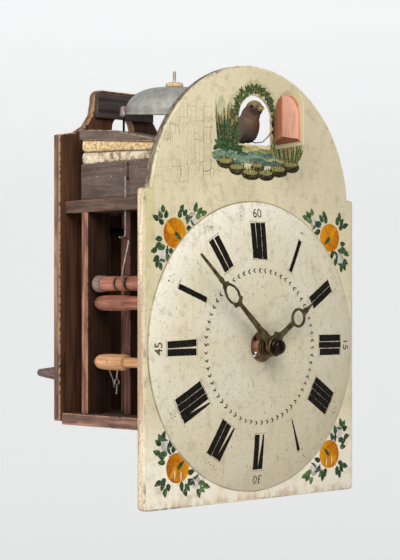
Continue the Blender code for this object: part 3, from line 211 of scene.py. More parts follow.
def shieldFinish():
    # cream oil ground gone yellow: net of age cracks, stains, dirt at the foot, bare wood where unpainted,
    # painted light and shade across the dial
    material, tree, shader, coords = newFinish("cream oil ground, cracked and yellowed", .5)
    axes = dialAxes(tree, coords)
    flat = addNode(tree, "ShaderNodeCombineXYZ", {"X": axes["X"], "Z": axes["Z"]}).outputs[0]
    radius = addNode(tree, "ShaderNodeVectorMath", {0: flat}, operation="LENGTH").outputs["Value"]
    broad = cells(tree, coords, 60, 4)
    stains = cells(tree, coords, 17, 6, (3, 1, 8))
    drips = cells(tree, coords, (6, 20, 70), 5, (1, 2, 5))
    colour = mixed(tree, between(tree, broad, .38, .62), "#d6caa9", "#cbc09d")
    onDial = between(tree, radius, 118.5, 119.5, 1, 0)
    chalky = mixed(tree, between(tree, broad, .36, .64), "#cdc3a6", "#d8d0bc")
    chalky = mixed(tree, between(tree, stains, .5, .66, 0, .5), chalky, "#ddd6c5")
    # painted light and shade on the dial: darker towards the lower right, paler towards the upper left, a
    # painted highlight along the upper left of the rim and painted shade along its lower right
    lampSide = maths(tree, "MULTIPLY_ADD", axes["X"], -.6, axes["Z"])
    chalky = mixed(tree, between(tree, lampSide, 20, -110, 0, .5), chalky, "#b5a98b")
    chalky = mixed(tree, between(tree, lampSide, 40, 130, 0, .6), chalky, "#e4dcc4")
    brim = between(tree, radius, 88, 116)
    chalky = mixed(tree, times(tree, brim, between(tree, lampSide, 20, 120, 0, .75)), chalky, "#f0ebdd")
    chalky = mixed(tree, times(tree, brim, between(tree, lampSide, 0, -120, 0, .3)), chalky, "#a89c7c")
    colour = mixed(tree, times(tree, onDial, .85), colour, chalky)
    margin = times(tree, between(tree, axes["X"], -111, -113), between(tree, axes["Z"], 20, 90, 0, .6))
    colour = mixed(tree, margin, colour, "#c2b47c")
    paler = times(tree, between(tree, axes["Z"], -50, -90, 0, .9), maths(tree, "SUBTRACT", 1, onDial))
    colour = mixed(tree, paler, colour, "#ebe2ce")
    colour = mixed(tree, between(tree, drips, .56, .74, 0, .36), colour, "#c9b172")
    colour = mixed(tree, patchy(tree, coords, (9, 6, (9, 4, 2)), .54, .74, 0, .5), colour, "#a39678")
    # a loose net of cracks drawn out along the grain, closest on the left of the arch
    sway = addNode(tree, "ShaderNodeTexNoise", {"Vector": coords, "Scale": 70.,
                                                "Detail": 4.}).outputs["Color"]
    upright = addNode(tree, "ShaderNodeCombineXYZ", {"X": axes["Z"], "Y": axes["X"]}).outputs[0]
    bend = addNode(tree, "ShaderNodeVectorMath", {0: sway, 1: (9, 9, 9), 2: upright},
                   operation="MULTIPLY_ADD").outputs[0]
    net = []
    for high, wide, gap in ((17, 9, .42), (7, 4.2, .3)):
        bond = addNode(tree, "ShaderNodeTexBrick", {"Vector": bend, "Scale": 1., "Brick Width": high,
                                                    "Row Height": wide, "Mortar Size": gap,
                                                    "Mortar Smooth": .6}, offset=.37)
        net.append(bond.outputs["Fac"])
    leftArch = times(tree, between(tree, axes["X"], -32, -50), between(tree, axes["Z"], 124, 138))
    leftArch = times(tree, leftArch, between(tree, axes["Z"], 205, 180))
    patches = cells(tree, coords, 34, 4, (5, 5, 5))
    cracked = maths(tree, "ADD", between(tree, patches, .5, .7, 0, .5), leftArch)
    coarse = times(tree, net[0], between(tree, cracked, .1, 1, .04, .75))
    finer = times(tree, net[1], between(tree, cracked, .4, 1.3, 0, .6))
    broken = patchy(tree, coords, (12, 4, (8, 1, 1)), .4, .58)
    cracks = times(tree, maths(tree, "MAXIMUM", coarse, finer), broken)
    colour = mixed(tree, cracks, colour, "#5d4b2e")
    dashes = cells(tree, coords, (.9, 3, 3.6), 3)
    colour = mixed(tree, between(tree, dashes, .645, .7, 0, .8), colour, "#574629")
    colour = mixed(tree, patchy(tree, coords, (1.3, 3, (6, 6, 2)), .66, .71, 0, .7), colour, "#8a6f45")
    # a thin dark line at the rim of the dial is painted shade where the dome meets the board; dirt gathers
    # along the foot and round the centre
    rim = times(tree, between(tree, radius, 118.6, 119.2), between(tree, radius, 119.7, 120.2, 1, 0))
    colour = mixed(tree, times(tree, rim, between(tree, stains, .3, .6, .25, .75)), colour, "#6b5b3a")
    foot = between(tree, axes["Z"], -104, -127)
    lowEdge = times(tree, between(tree, axes["Z"], -119, -127), between(tree, drips, .42, .6, 0, .8))
    colour = mixed(tree, lowEdge, colour, "#b08a62")
    colour = mixed(tree, times(tree, foot, between(tree, stains, .54, .7, 0, .5)), colour, "#b9a06c")
    colour = mixed(tree, between(tree, radius, 13.4, 12.7), colour, "#2a1a10")
    centre = between(tree, radius, 34, 12, 0, .5)
    colour = mixed(tree, times(tree, centre, broad), colour, "#8e7d55")
    bare = attribute(tree, "bare")
    grain = cells(tree, coords, (5, 5, 60), 5)
    wood = mixed(tree, between(tree, grain, .36, .6), "#b4977a", "#e2d2b4")
    wood = mixed(tree, patchy(tree, coords, (2.4, 4), .5, .68, 0, .6), wood, "#8d7256")
    chips = cells(tree, coords, (4, 4, 7), 5, (2, 7, 1))
    archEdge = mixed(tree, between(tree, chips, .4, .6), "#4d4336", "#857862")
    archEdge = mixed(tree, between(tree, maths(tree, "MULTIPLY_ADD", chips, 8, axes["Y"]), 6.6, 5.2),
                     archEdge, "#d3c49c")
    wood = mixed(tree, between(tree, axes["Z"], 124, 130), wood, archEdge)
    spruce = mixed(tree, between(tree, grain, .36, .6), "#77593f", "#a98a68")
    spruce = mixed(tree, between(tree, stains, .48, .7, 0, .6), spruce, "#5b412d")
    wood = mixed(tree, between(tree, axes["Y"], 8.5, 8.9), wood, spruce)
    colour = mixed(tree, bare, colour, wood)
    rubbed = times(tree, attribute(tree, "wear"), patchy(tree, coords, (5, 5), .42, .56))
    colour = mixed(tree, rubbed, colour, mixed(tree, between(tree, broad, .4, .6), "#6f6350", "#e2d5b6"))
    height = maths(tree, "SUBTRACT", times(tree, broad, .5), cracks)
    finishUp(tree, shader, colour, height, .12, between(tree, stains, .3, .7, .58, .42))
    return material


def leatherFinish():
    # thin tawed bellows skin: golden tan pleats, chalky white mould below, fine wrinkles, painted shade in
    # the middle fold
    material, tree, shader, coords = newFinish("thin tawed skin with chalk mould", .72)
    tilt = dialAxes(tree, coords)
    upper = attribute(tree, "shade")
    blots = cells(tree, coords, 7, 6)
    wrinkles = cells(tree, coords, (2, 5, 1.2), 5, distortion=.8)
    mottle = cells(tree, coords, 2.4, 5, (2, 2, 2))
    colour = mixed(tree, between(tree, mottle, .4, .6), "#c9a066", "#ecd3a0")
    pale = mixed(tree, between(tree, blots, .4, .6), "#8d7458", "#e6d6ba")
    colour = mixed(tree, upper, pale, colour)
    colour = mixed(tree, between(tree, mottle, .58, .66, 0, .7), colour, "#f4ead3")
    colour = mixed(tree, patchy(tree, coords, ((1.6, 2.6, 1.2), 3), .6, .68, 0, .85), colour, "#5b4430")
    # painted shade: a dark band along the inward middle fold
    crease = attribute(tree, "crease")
    colour = mixed(tree, crease, colour, "#3a2818")
    colour = mixed(tree, between(tree, tilt["Y"], 120, 150, .15, 0), colour, "#6d5238")
    finishUp(tree, shader, colour, wrinkles, .35)
    return material


def doorFinish():
    # brick-red distemper on a carved block: the facet tones are painted light and shade, the lap is cream
    material, tree, shader, coords = newFinish("brick red distemper on a split door", .6)
    streaks = cells(tree, coords, (3, 3, 16), 5)
    tone = attribute(tree, "shade")
    colour = mixed(tree, between(tree, tone, 0, .5), "#6e3320", "#b8724e")
    colour = mixed(tree, between(tree, tone, .5, 1), colour, "#dca28b")
    colour = mixed(tree, between(tree, streaks, .48, .72, 0, .4), colour, "#96523a")
    colour = mixed(tree, patchy(tree, coords, (1.2, 3), .64, .72, 0, .7), colour, "#f0d8c4")
    colour = mixed(tree, attribute(tree, "lap"), colour, "#c8bb98")
    finishUp(tree, shader, colour, streaks, .15)
    return material


def birdFinish():
    # thin oil colour on carved wood: grey back, ochre crown and bill, dark throat, red-brown breast
    material, tree, shader, coords = newFinish("oil colour on carved limewood bird", .58)
    axes = dialAxes(tree, coords)
    strokes = cells(tree, coords, (1.6, 1.6, 4.5), 4, distortion=.6)
    ripple = between(tree, strokes, .3, .7, -2.4, 2.4)
    up = maths(tree, "ADD", axes["Z"], ripple)
    front = maths(tree, "ADD", maths(tree, "SUBTRACT", axes["Y"], times(tree, axes["X"], .45)), ripple)
    colour = mixed(tree, between(tree, up, 171, 187), "#1a110b", "#5e3d27")
    colour = mixed(tree, between(tree, front, 5, 13, 0, .85), colour, "#5d5446")
    colour = mixed(tree, between(tree, up, 197.5, 200, 0, .95), colour, "#8f7747")
    face = times(tree, between(tree, up, 189.5, 191.5), between(tree, up, 198.6, 197))
    throat = times(tree, face, between(tree, front, 3, .5))
    colour = mixed(tree, times(tree, throat, .9), colour, "#241b13")
    bill = times(tree, between(tree, axes["Y"], -5.6, -6.8), between(tree, up, 193.6, 195.2))
    colour = mixed(tree, bill, colour, "#b9923f")
    colour = mixed(tree, between(tree, strokes, .5, .68, 0, .65), colour, "#1c130d")
    finishUp(tree, shader, colour, strokes, .3)
    return material


scars = (("#d9cfc2", 1.8, (4, 7, 1)), ("#b9763f", 6., (1, 3, 9)), ("#8a4a44", 7., (7, 2, 2)))
finishes = {
    "shield": shieldFinish(),
    # beech strips: the broad faces very dark, dark stain and painted shade inside the case
    "beech": woodFinish("quartered beech, dark stain and painted shade inside", "#24160b", "#432a17", "#b58068", 2, rim="#966a54"),
    # a darker copy of the beech for the middle left strip: painted shade
    "beechInPaintedShade": woodFinish("beech strip in painted shade", "#2a1a12", "#4c3024", "#70483a", 2, rim="#5c3a30"),
    "beechFlat": woodFinish("planed beech plate, smoky", "#3a2c25", "#55453b", "#80604f", 1, rim="#5c4d45"),
    "beechFoot": woodFinish("planed beech foot plate", "#46372f", "#634e40", "#b28570", 1, rim="#866556"),
    # the centre strip is paler than the other strips: painted light where it sits in the dark case
    "beechPale": woodFinish("beech strip at the centre, painted pale as light", "#d09a82", "#e8bda2", "#f0cbb2", 2, (30, 1.6),
                            .1),
    "backboard": woodFinish("smoked spruce backboard", "#3a2013", "#5d3b24", "#a98467", 2, (90, 4), .45,
                            rim="#715749"),
    "crest": woodFinish("stained spruce cleat", "#2b2320", "#4b413c", "#6a5a50", 0),
    "pipe": woodFinish("grey spruce pipe board", "#594a41", "#74635a", "#94796a", 1, (60, 2.6), .35,
                       flecks=scars),
    "lid": woodFinish("planed bellows board", "#5a4a41", "#7c6a5d", "#a8947f", 1, (60, 2.4), .3,
                      flecks=scars[:1]),
    "turned": woodFinish("turned plum wood", "#8a523e", "#bb7f68", "#cda08a", 1, (40, 1.8), .35, .45),
    "flange": woodFinish("turned boxwood flange", "#7d6661", "#98827c", "#a8938c", 1, (20, 1.8), .2, .5),
    "turnedLight": woodFinish("turned pear wood", "#c68c5e", "#e6b487", "#eec8a0", 1, (40, 1.8), .12, .45),
    "peg": woodFinish("split beech peg", "#7d6258", "#a48679", "#bfa596", 1, (30, 1.5), .3),
    "standoff": woodFinish("whittled standoff peg", "#5b4a48", "#806a67", "#b59a97", 1, (30, 2), .3),
    "collar": woodFinish("turned limewood button", "#c4a27a", "#e2cba8", "#e8d8bc", 2, (14, 1.2), .15, .55),
    "leather": leatherFinish(),
    "brass": metalFinish("cast brass, brown tarnish", "#a58a58", "#7b6540", "#392c1b", .42),
    # pale, less metallic brass for the strike great wheel: painted light on teeth that sit in the case's
    # shade
    "brassPaintedLight": metalFinish("cast brass, filed teeth, painted pale as light", "#e0cfa4", "#bfa878", "#6b5836", .5, 6., .3),
    "redBrass": metalFinish("copper-rich brass wheel, dull", "#e2ab92", "#c98c74", "#8d5a46", .6, 3., .2),
    "handBrass": metalFinish("filed brass hand, brown lacquer", "#77694a", "#4c422c", "#241d13", .42, 6.),
    "nut": metalFinish("blued steel nut, worn brown", "#3c2a26", "#1b1210", "#0e0907", .24, 4.),
    "iron": metalFinish("drawn iron wire, oxidised", "#bdb6aa", "#857c70", "#40342a", .45, 5.),
    "blackIron": metalFinish("forged iron, blackened", "#3b342c", "#211b16", "#120e0b", .6, 5.),
    "hammer": metalFinish("cast lead hammer head", "#b5a4a0", "#7d6b68", "#3b3230", .5, 4.),
    # the bell's inside is painted pale: painted light bounced into the hollow
    "bell": metalFinish("cast bell metal, grey patina", "#b4b3aa", "#98978f", "#6b6860", .5, 7., .5,
                        "#ece9e0"),
    "door": doorFinish(),
    "bird": birdFinish(),
    "numeral": brushFinish("lampblack numeral paint", "#0d0a07", "#130f0a", "#1b150f", "#6f6248", -.1),
    "faint": brushFinish("worn sepia figure paint", "#4a3f2e", "#665842", "#8c7d60", "#cdbf9c", .6),
    "figure": brushFinish("lampblack figure paint, flaked", "#17120c", "#2a2217", "#4d422f", "#cdc3a6", .5),
    "tick": brushFinish("thin terre verte tick paint", "#10160d", "#1c2517", "#39402c", "#c3b99b", .05),
    "green": brushFinish("verdigris leaf paint", "#18301d", "#2c4a2b", "#5f7c42", "#c3b99b", .0),
    "bloom": brushFinish("ochre and vermilion bloom", "#9a4c06", "#bd7606", "#d69510", "#b88a20", -.05),
    "bud": brushFinish("zinc white bud with madder", "#8f8d82", "#c3c0b3", "#d8c6b8", "#cdbf9c", .05),
    "dusk": brushFinish("indigo shade paint", "#1d2c33", "#2b4248", "#4f6f66", "#cdbf9c", .1),
    "mist": brushFinish("thin green earth wash", "#a3a680", "#b3b08c", "#bdb794", "#c9bd98", .5),
    "garland": brushFinish("olive and umber foliage paint", "#262b17", "#545029", "#9a8c50", "#a89a68", .05),
    "bank": brushFinish("ochre and sage bank paint", "#5d6139", "#8f8b55", "#bdb37c", "#b5a873", .15),
    "pebble": brushFinish("umber mound paint", "#231b0e", "#4f4127", "#94814f", "#b5a577", .0),
    "pool": brushFinish("thin verditer wash", "#2c463e", "#47665a", "#7c917a", "#a9ad8a", .1),
}
print("finishes", len(finishes))


# Pieces

def publish(name, mesh, finish, body, nodes=(), slot=None, angle=35):
    obj = newObject(name, mesh)
    mesh.materials.clear()
    mesh.materials.append(finishes[finish])
    mesh.shade_smooth()
    mesh.set_sharp_from_angle(angle=math.radians(angle))
    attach(obj, body)
    if nodes:
        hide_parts(*nodes)
    return obj


def newObject(name, mesh):
    obj = bpy.data.objects.new(name, mesh)
    scene.collection.objects.link(obj)
    return obj


def reworked(mesh, merge=0., melt=0., split=False):
    # doubles merged, slivers melted, large faces split, normals turned outward
    shape = bmesh.new()
    shape.from_mesh(mesh)
    if merge:
        bmesh.ops.remove_doubles(shape, verts=shape.verts, dist=merge)
    if melt:
        bmesh.ops.dissolve_degenerate(shape, edges=shape.edges, dist=melt)
    if split:
        bmesh.ops.triangulate(shape, faces=[f for f in shape.faces if len(f.verts) > 4])
    bmesh.ops.recalc_face_normals(shape, faces=shape.faces)
    shape.to_mesh(mesh)
    shape.free()
    return mesh


def meshOf(name, points, faces):
    # points are millimetres from the dial centre
    mesh = bpy.data.meshes.new(name)
    mesh.from_pydata([spot(*p) for p in points], [], faces)
    mesh.validate()
    return reworked(mesh, 1e-6)


def setFloats(mesh, name, domain, values):
    layer = mesh.attributes.new(name, "FLOAT", domain)
    layer.data.foreach_set("value", values)


def settled(obj, name):
    # the evaluated mesh as a plain one, with the object's place in it
    bpy.context.view_layer.update()
    graph = bpy.context.evaluated_depsgraph_get()
    mesh = bpy.data.meshes.new_from_object(obj.evaluated_get(graph), depsgraph=graph)
    mesh.transform(obj.matrix_world)
    mesh.name = name
    bpy.data.objects.remove(obj)
    return mesh


def flatCurve(name, outlines, thick, edge=0.):
    # filled outline in x and z with rounded edges, centred on y = 0, in millimetres
    curve = bpy.data.curves.new(name, "CURVE")
    curve.dimensions = "2D"
    curve.fill_mode = "BOTH"
    curve.extrude = thick / 2 - edge
    curve.bevel_depth = edge
    curve.offset = -edge
    curve.bevel_resolution = 2
    for outline in outlines:
        line = curve.splines.new("POLY")
        line.points.add(len(outline) - 1)
        for point, (x, z) in zip(line.points, outline):
            point.co = (x, z, 0, 1)
        line.use_cyclic_u = True
    obj = newObject(name, curve)
    obj.matrix_world = Matrix.Rotation(math.pi / 2, 4, "X")
    mesh = settled(obj, name)
    return reworked(mesh, 1e-4, 1e-5)


def toRow(mesh, matrix=Matrix()):
    # from millimetres in the dial frame to metres in the shared frame
    mesh.transform(Matrix.Scale(.001, 4) @ Matrix.Translation(rowOffset) @ matrix)
    return mesh


def lathe(name, profile, axis, steps=56):
    # profile of (radius, height) turned about a line: axis is (origin, direction)
    origin, direction = Vector(axis[0]), Vector(axis[1]).normalized()
    side = direction.orthogonal().normalized()
    other = direction.cross(side)
    points, faces = [], []
    for radius, height in profile:
        for k in range(steps):
            turn = math.tau * k / steps
            points.append(origin + direction * height
                          + (side * math.cos(turn) + other * math.sin(turn)) * max(radius, .001))
    for row in range(len(profile) - 1):
        for k in range(steps):
            a, b = row * steps + k, row * steps + (k + 1) % steps
            faces.append((a, b, b + steps, a + steps))
    if profile[0] != profile[-1]:
        faces.append(tuple(range(steps))[::-1])
        faces.append(tuple(range((len(profile) - 1) * steps, len(profile) * steps)))
    else:
        last = (len(profile) - 1) * steps
        faces = [tuple(i - last if i >= last else i for i in face) for face in faces]
        points = points[:last]
    return meshOf(name, points, faces)


def publishTurned(name, profile, axis, *rest, steps=56):
    publish(name, lathe(name, profile, axis, steps), *rest)


def wire(name, points, radius):
    # round wire through points with soft bends
    curve = bpy.data.curves.new(name, "CURVE")
    curve.dimensions = "3D"
    curve.bevel_depth = radius
    curve.bevel_resolution = 2
    curve.use_fill_caps = True
    line = curve.splines.new("POLY")
    route = [Vector(p) for p in points]
    for turn in range(3):
        softer = [route[0]]
        for a, b in zip(route, route[1:]):
            reach = min(.25, 1.4 / max((b - a).length, .1))
            softer += [a.lerp(b, reach), a.lerp(b, 1 - reach)]
        route = softer + [route[-1]]
    line.points.add(len(route) - 1)
    for point, place in zip(line.points, route):
        point.co = (*place, 1)
    return toRow(settled(newObject(name, curve), name))


def circle(radius, steps, rise=0.):
    turns = [math.tau * k / steps for k in range(steps)]
    return [(radius * math.sin(a), rise + radius * math.cos(a)) for a in turns]


def rightArc(radius, first, last, rise=0.):
    # from below, in twentieths of a half turn
    turns = [math.pi * k / 20 for k in range(first, last)]
    return [(radius * math.sin(a), rise - radius * math.cos(a)) for a in turns]


def joined(name, meshes):
    shape = bmesh.new()
    for mesh in meshes:
        shape.from_mesh(mesh)
        bpy.data.meshes.remove(mesh)
    mesh = bpy.data.meshes.new(name)
    shape.to_mesh(mesh)
    shape.free()
    return mesh


def wornCopy(node, finish, body="case", edge=.7, slot=None, broad=None):
    # the CAD solid again with eased edges, which carry wear; broad is the axis across a board's faces
    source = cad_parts[node]
    shape = bmesh.new()
    shape.from_mesh(source.data)
    shape.transform(source.matrix_world)
    bmesh.ops.remove_doubles(shape, verts=shape.verts, dist=1e-6)
    bmesh.ops.dissolve_limit(shape, angle_limit=math.radians(1), verts=shape.verts, edges=shape.edges)
    wear, rim = shape.faces.layers.float.new("wear"), shape.faces.layers.float.new("rim")
    shape.normal_update()
    for face in shape.faces:
        # rim marks the narrow faces of a board, which the wood finish paints paler, partly as painted light
        face[rim] = float(broad is not None and abs(face.normal[broad]) < .5)
    sharp = [e for e in shape.edges if len(e.link_faces) == 2 and e.calc_face_angle() > math.radians(32)]
    made = bmesh.ops.bevel(shape, geom=sharp, offset=edge * .001, segments=2, profile=.6, affect="EDGES",
                           clamp_overlap=True)
    for face in made["faces"]:
        face[wear] = 1
    bmesh.ops.triangulate(shape, faces=[f for f in shape.faces if len(f.verts) > 4])
    bmesh.ops.recalc_face_normals(shape, faces=shape.faces)
    mesh = bpy.data.meshes.new(node + ".worn")
    shape.to_mesh(mesh)
    shape.free()
    return publish(node + ".worn", mesh, finish, body, [node], slot)


# The shield: one board, its dial turned up in the middle

shieldSizes = dict(half=122.5, foot=-127, shoulder=125.5, thick=9, edge=1.5, archRadius=115.5, archCentre=116,
                   footRound=4, shoulderRound=2.5, dial=119.5, rise=7, hole=12.4,
                   doorHalf=19, doorFoot=166.5, doorCentre=188,
                   jambEdge=1.5, splay=1.2)


def domeAt(x, z):
    # depth of the painted face
    r = math.hypot(x, z)
    dial = shieldSizes["dial"]
    if r >= dial:
        return 0
    return -shieldSizes["rise"] * (1 - (r / dial) ** 2.8) - min(.8, (dial - r) * .8)


def rounded(corners, steps=6):
    # corners of (x, z, radius) into an outline
    outline = []
    for k, (x, z, radius) in enumerate(corners):
        here = Vector((x, z))
        if not radius:
            outline.append((x, z))
            continue
        before = (Vector(corners[k - 1][:2]) - here).normalized()
        after = (Vector(corners[(k + 1) % len(corners)][:2]) - here).normalized()
        half = before.angle(after) / 2
        start, end = here + before * radius / math.tan(half), here + after * radius / math.tan(half)
        centre = here + (before + after).normalized() * radius / math.sin(half)
        first, sweep = start - centre, (end - centre)
        turn = first.angle_signed(sweep)
        for s in range(steps + 1):
            part = first.copy()
            part.rotate(Matrix.Rotation(-turn * s / steps, 2))
            outline.append(tuple(centre + part))
    return outline


def doorOutline(grow, foot=0.):
    # the doorway, wider by grow, with its sill lowered by foot
    s = shieldSizes
    half = s["doorHalf"] + grow
    arch = [(half * math.cos(math.pi * k / 32), s["doorCentre"] + half * math.sin(math.pi * k / 32))
            for k in range(33)]
    return [(-half, s["doorFoot"] - foot), (half, s["doorFoot"] - foot)] + arch


def makeShield():
    s = shieldSizes
    spring = math.asin((s["shoulder"] - s["archCentre"]) / s["archRadius"])
    arch = [(s["archRadius"] * math.cos(spring + (math.pi - 2 * spring) * k / 96),
             s["archCentre"] + s["archRadius"] * math.sin(spring + (math.pi - 2 * spring) * k / 96))
            for k in range(97)]
    corners = [(-s["half"], s["foot"], s["footRound"]), (s["half"], s["foot"], s["footRound"]),
               (s["half"], s["shoulder"], s["shoulderRound"])]
    corners += [(x, z, 0) for x, z in arch]
    corners += [(-s["half"], s["shoulder"], s["shoulderRound"])]
    board = flatCurve("board", [rounded(corners)], s["thick"], s["edge"])
    obj = newObject("shield.board", toRow(board, Matrix.Translation((0, s["thick"] / 2, 0))))
    profile = [(r * 3, -domeAt(r * 3, 0)) for r in range(40)]
    profile += [(118.5, -domeAt(118.5, 0)), (119.1, .62), (119.4, .3), (s["dial"], 0), (s["dial"], -4),
                (0, -4)]
    dome = newObject("dome", lathe("dome", profile, ((0, 0, 0), (0, -1, 0)), 180))
    hole = newObject("hole", lathe("hole", [(s["hole"], -20), (s["hole"], 20)], ((0, 0, 0), (0, -1, 0)), 72))
    doorway = newObject("doorway", toRow(flatCurve("doorway", [doorOutline(0)], 60)))
    rings = []
    for depth in (.5, 12):
        grow = (depth - s["jambEdge"]) * s["splay"]
        rings.append([(x, depth, z) for x, z in doorOutline(grow, min(grow, 0))])
    count = len(rings[0])
    faces = [(k, (k + 1) % count, (k + 1) % count + count, k + count) for k in range(count)]
    faces += [tuple(range(count)), tuple(range(count, 2 * count))]
    splay = newObject("splay", meshOf("splay", rings[0] + rings[1], faces))
    tools = ((dome, "UNION"), (hole, "DIFFERENCE"), (doorway, "DIFFERENCE"), (splay, "DIFFERENCE"))
    for tool, way in tools:
        cut = obj.modifiers.new(way, "BOOLEAN")
        cut.operation, cut.object, cut.solver = way, tool, "EXACT"
    mesh = settled(obj, "shield.board")
    for tool, way in tools:
        bpy.data.objects.remove(tool)
    shape = bmesh.new()
    shape.from_mesh(mesh)
    bmesh.ops.dissolve_degenerate(shape, edges=shape.edges, dist=1e-7)
    bare, wear = shape.faces.layers.float.new("bare"), shape.faces.layers.float.new("wear")
    for face in shape.faces:
        middle = face.calc_center_median() * 1000 - rowOffset
        outside = math.hypot(middle.x, middle.z) > 119.6
        face[bare] = float(face.normal.y > -.1 and (outside or math.hypot(middle.x, middle.z) < 13))
        face[wear] = float(outside and -.97 < face.normal.y < -.1)
    shape.to_mesh(mesh)
    shape.free()
    publish("shield.board", mesh, "shield", "case", ["shield"], "cream_paint", 24)


makeShield()
print("shield")


# Painting on the shield: thin strokes that lie on the face, shade runs 0 to 1

def blade(centre, length, width, turn, form, bend=0., along=9, across=3, wobble=.12):
    # rows of points for one brush stroke; turn is clockwise from up, form gives the half width
    rows = []
    for i in range(along + 1):
        t = i / along
        reach = (t - .5) * length
        drift = bend * (4 * (t - .5) ** 2 - .5)
        half = max(form(t) * width / 2, .02)
        row = []
        for j in range(across + 1):
            side = (2 * j / across - 1) * half + drift + chance.uniform(-wobble, wobble)
            x = centre[0] + reach * math.sin(turn) + side * math.cos(turn)
            z = centre[1] + reach * math.cos(turn) - side * math.sin(turn)
            row.append((x, z))
        rows.append(row)
    return rows


def roundForm(t):
    return math.sqrt(max(0, 1 - (2 * t - 1) ** 2))


def leafForm(t):
    return math.sin(math.pi * t ** .75) ** .8 if 0 < t < 1 else 0


def barForm(t):
    return 1


def wedgeForm(t):
    return .3 + .75 * t


def kept(x, z, off):
    # a point pushed out of the dial's edge or out of the doorway
    if off == "dial" and math.hypot(x, z) < 120:
        return Vector((x, z)).normalized() * 120
    rise = max(0, z - shieldSizes["doorCentre"])
    room = shieldSizes["doorHalf"] + .3
    if off == "doorway" and z > 166 and math.hypot(x, rise) < room:
        grow = room / max(math.hypot(x, rise), .1)
        return Vector((x * grow, z + rise * (grow - 1)))
    return Vector((x, z))


def paintMesh(name, strokes, finish, lift=.05, off=None):
    # strokes of (rows, shade at first side, shade at last side, layer)
    points, faces, shades = [], [], []
    for k, (rows, first, last, layer) in enumerate(strokes):
        base, wide = len(points), len(rows[0])
        for back in (-lift - .05 * layer - .046 * (k * .618034 % 1), .25):
            for row in rows:
                for j, place in enumerate(row):
                    x, z = kept(*place, off)
                    points.append((x, domeAt(x, z) + back, z))
                    shades.append(first + (last - first) * j / (wide - 1))
        count = len(rows) * wide
        for i in range(len(rows) - 1):
            for j in range(wide - 1):
                a = base + i * wide + j
                faces.append((a, a + 1, a + wide + 1, a + wide))
                faces.append((a + count, a + count + wide, a + count + wide + 1, a + count + 1))
        border = [(0, j) for j in range(wide)] + [(i, wide - 1) for i in range(1, len(rows))]
        border += [(len(rows) - 1, j) for j in range(wide - 2, -1, -1)] + [(i,
                                                                            0) for i in range(len(rows) - 2,
                                                                                              0, -1)]
        ring = [base + i * wide + j for i, j in border]
        for a, b in zip(ring, ring[1:] + ring[:1]):
            faces.append((a, a + count, b + count, b))
    mesh = bpy.data.meshes.new(name)
    mesh.from_pydata([spot(*p) for p in points], [], faces)
    setFloats(mesh, "shade", "POINT", shades)
    reworked(mesh)
    return publish(name, mesh, finish, "case", (), None, 60)


# Roman numerals: the thick strokes are left, the thin ones have worn away
numeralSizes = dict(inner=72, outer=102, bar=5.6, gap=5.9, dots=110)
numeralStrokes = {
    0: [(-1, 1, -.25), (0, 1, 0), (.98, .95, 0)], 1: [(0, .7, 0)], 2: [(-.5, 1, 0), (.5, 1, 0)],
    3: [(-1, 1, 0), (0, .9, 0), (1, 1, 0)], 4: [(-1.4, .95, 0), (-.47, .95, 0), (.47, .95, 0), (1.4, .95, 0)],
    5: [(0, .62, 1.2)], 6: [(-.5, .95, .6), (.6, 1, 0)], 7: [(-1, .95, .5), (0, 1, 0), (1, 1, 0)],
    8: [(-1.45, .95, .5), (-.5, 1, 0), (.5, 1, 0), (1.5, 1, 0)], 9: [(-.55, 1, -.1), (.58, 1, -.45)],
    10: [(0, .85, -1.4)], 11: [(-.52, 1, -.4), (.56, 1, -.15)]}


def makeNumerals():
    s = numeralSizes
    dark, faint, dots = [], [], []
    middle, length = (s["inner"] + s["outer"]) / 2, s["outer"] - s["inner"]
    for hour, strokes in numeralStrokes.items():
        angle = hour * math.pi / 6
        outward, sideways = (math.sin(angle), math.cos(angle)), (math.cos(angle), -math.sin(angle))
        for k, (offset, width, slant) in enumerate(strokes):
            shift = offset * s["gap"]
            centre = (outward[0] * middle + sideways[0] * shift, outward[1] * middle + sideways[1] * shift)
            form = wedgeForm if k == 0 and 5 <= hour <= 8 else barForm
            rows = blade(centre, length * chance.uniform(.95, 1.02), s["bar"] * width, angle + slant * .11,
                         form, 0, 16, 3, .1)
            dark.append((rows, chance.uniform(0, .4), chance.uniform(.2, .7), 0))
        wide = max(abs(o) for o, _, _ in strokes) * s["gap"] + 4
        for reach in (s["inner"] - .6, s["outer"] + .6):
            centre = (outward[0] * reach, outward[1] * reach)
            faint.append((blade(centre, 2 * wide, .5, angle + math.pi / 2, barForm, 0, 12, 1, .06), .4, .9,
                          0))
        # what is left of the five-minute figures
        for k in range(7 if hour % 3 else 0):
            reach, shift = s["dots"] + chance.uniform(-3, 3), chance.uniform(-5, 5)
            centre = (outward[0] * reach + sideways[0] * shift, outward[1] * reach + sideways[1] * shift)
            size = chance.uniform(.7, 1.3)
            dots.append((blade(centre, size, size, 0, roundForm, 0, 4, 2, .1), .3, .6, 0))
    paintMesh("dial.numerals", dark, "numeral")
    paintMesh("dial.serifs", faint, "faint", .03)
    paintMesh("dial.dots", dots, "figure", .03)


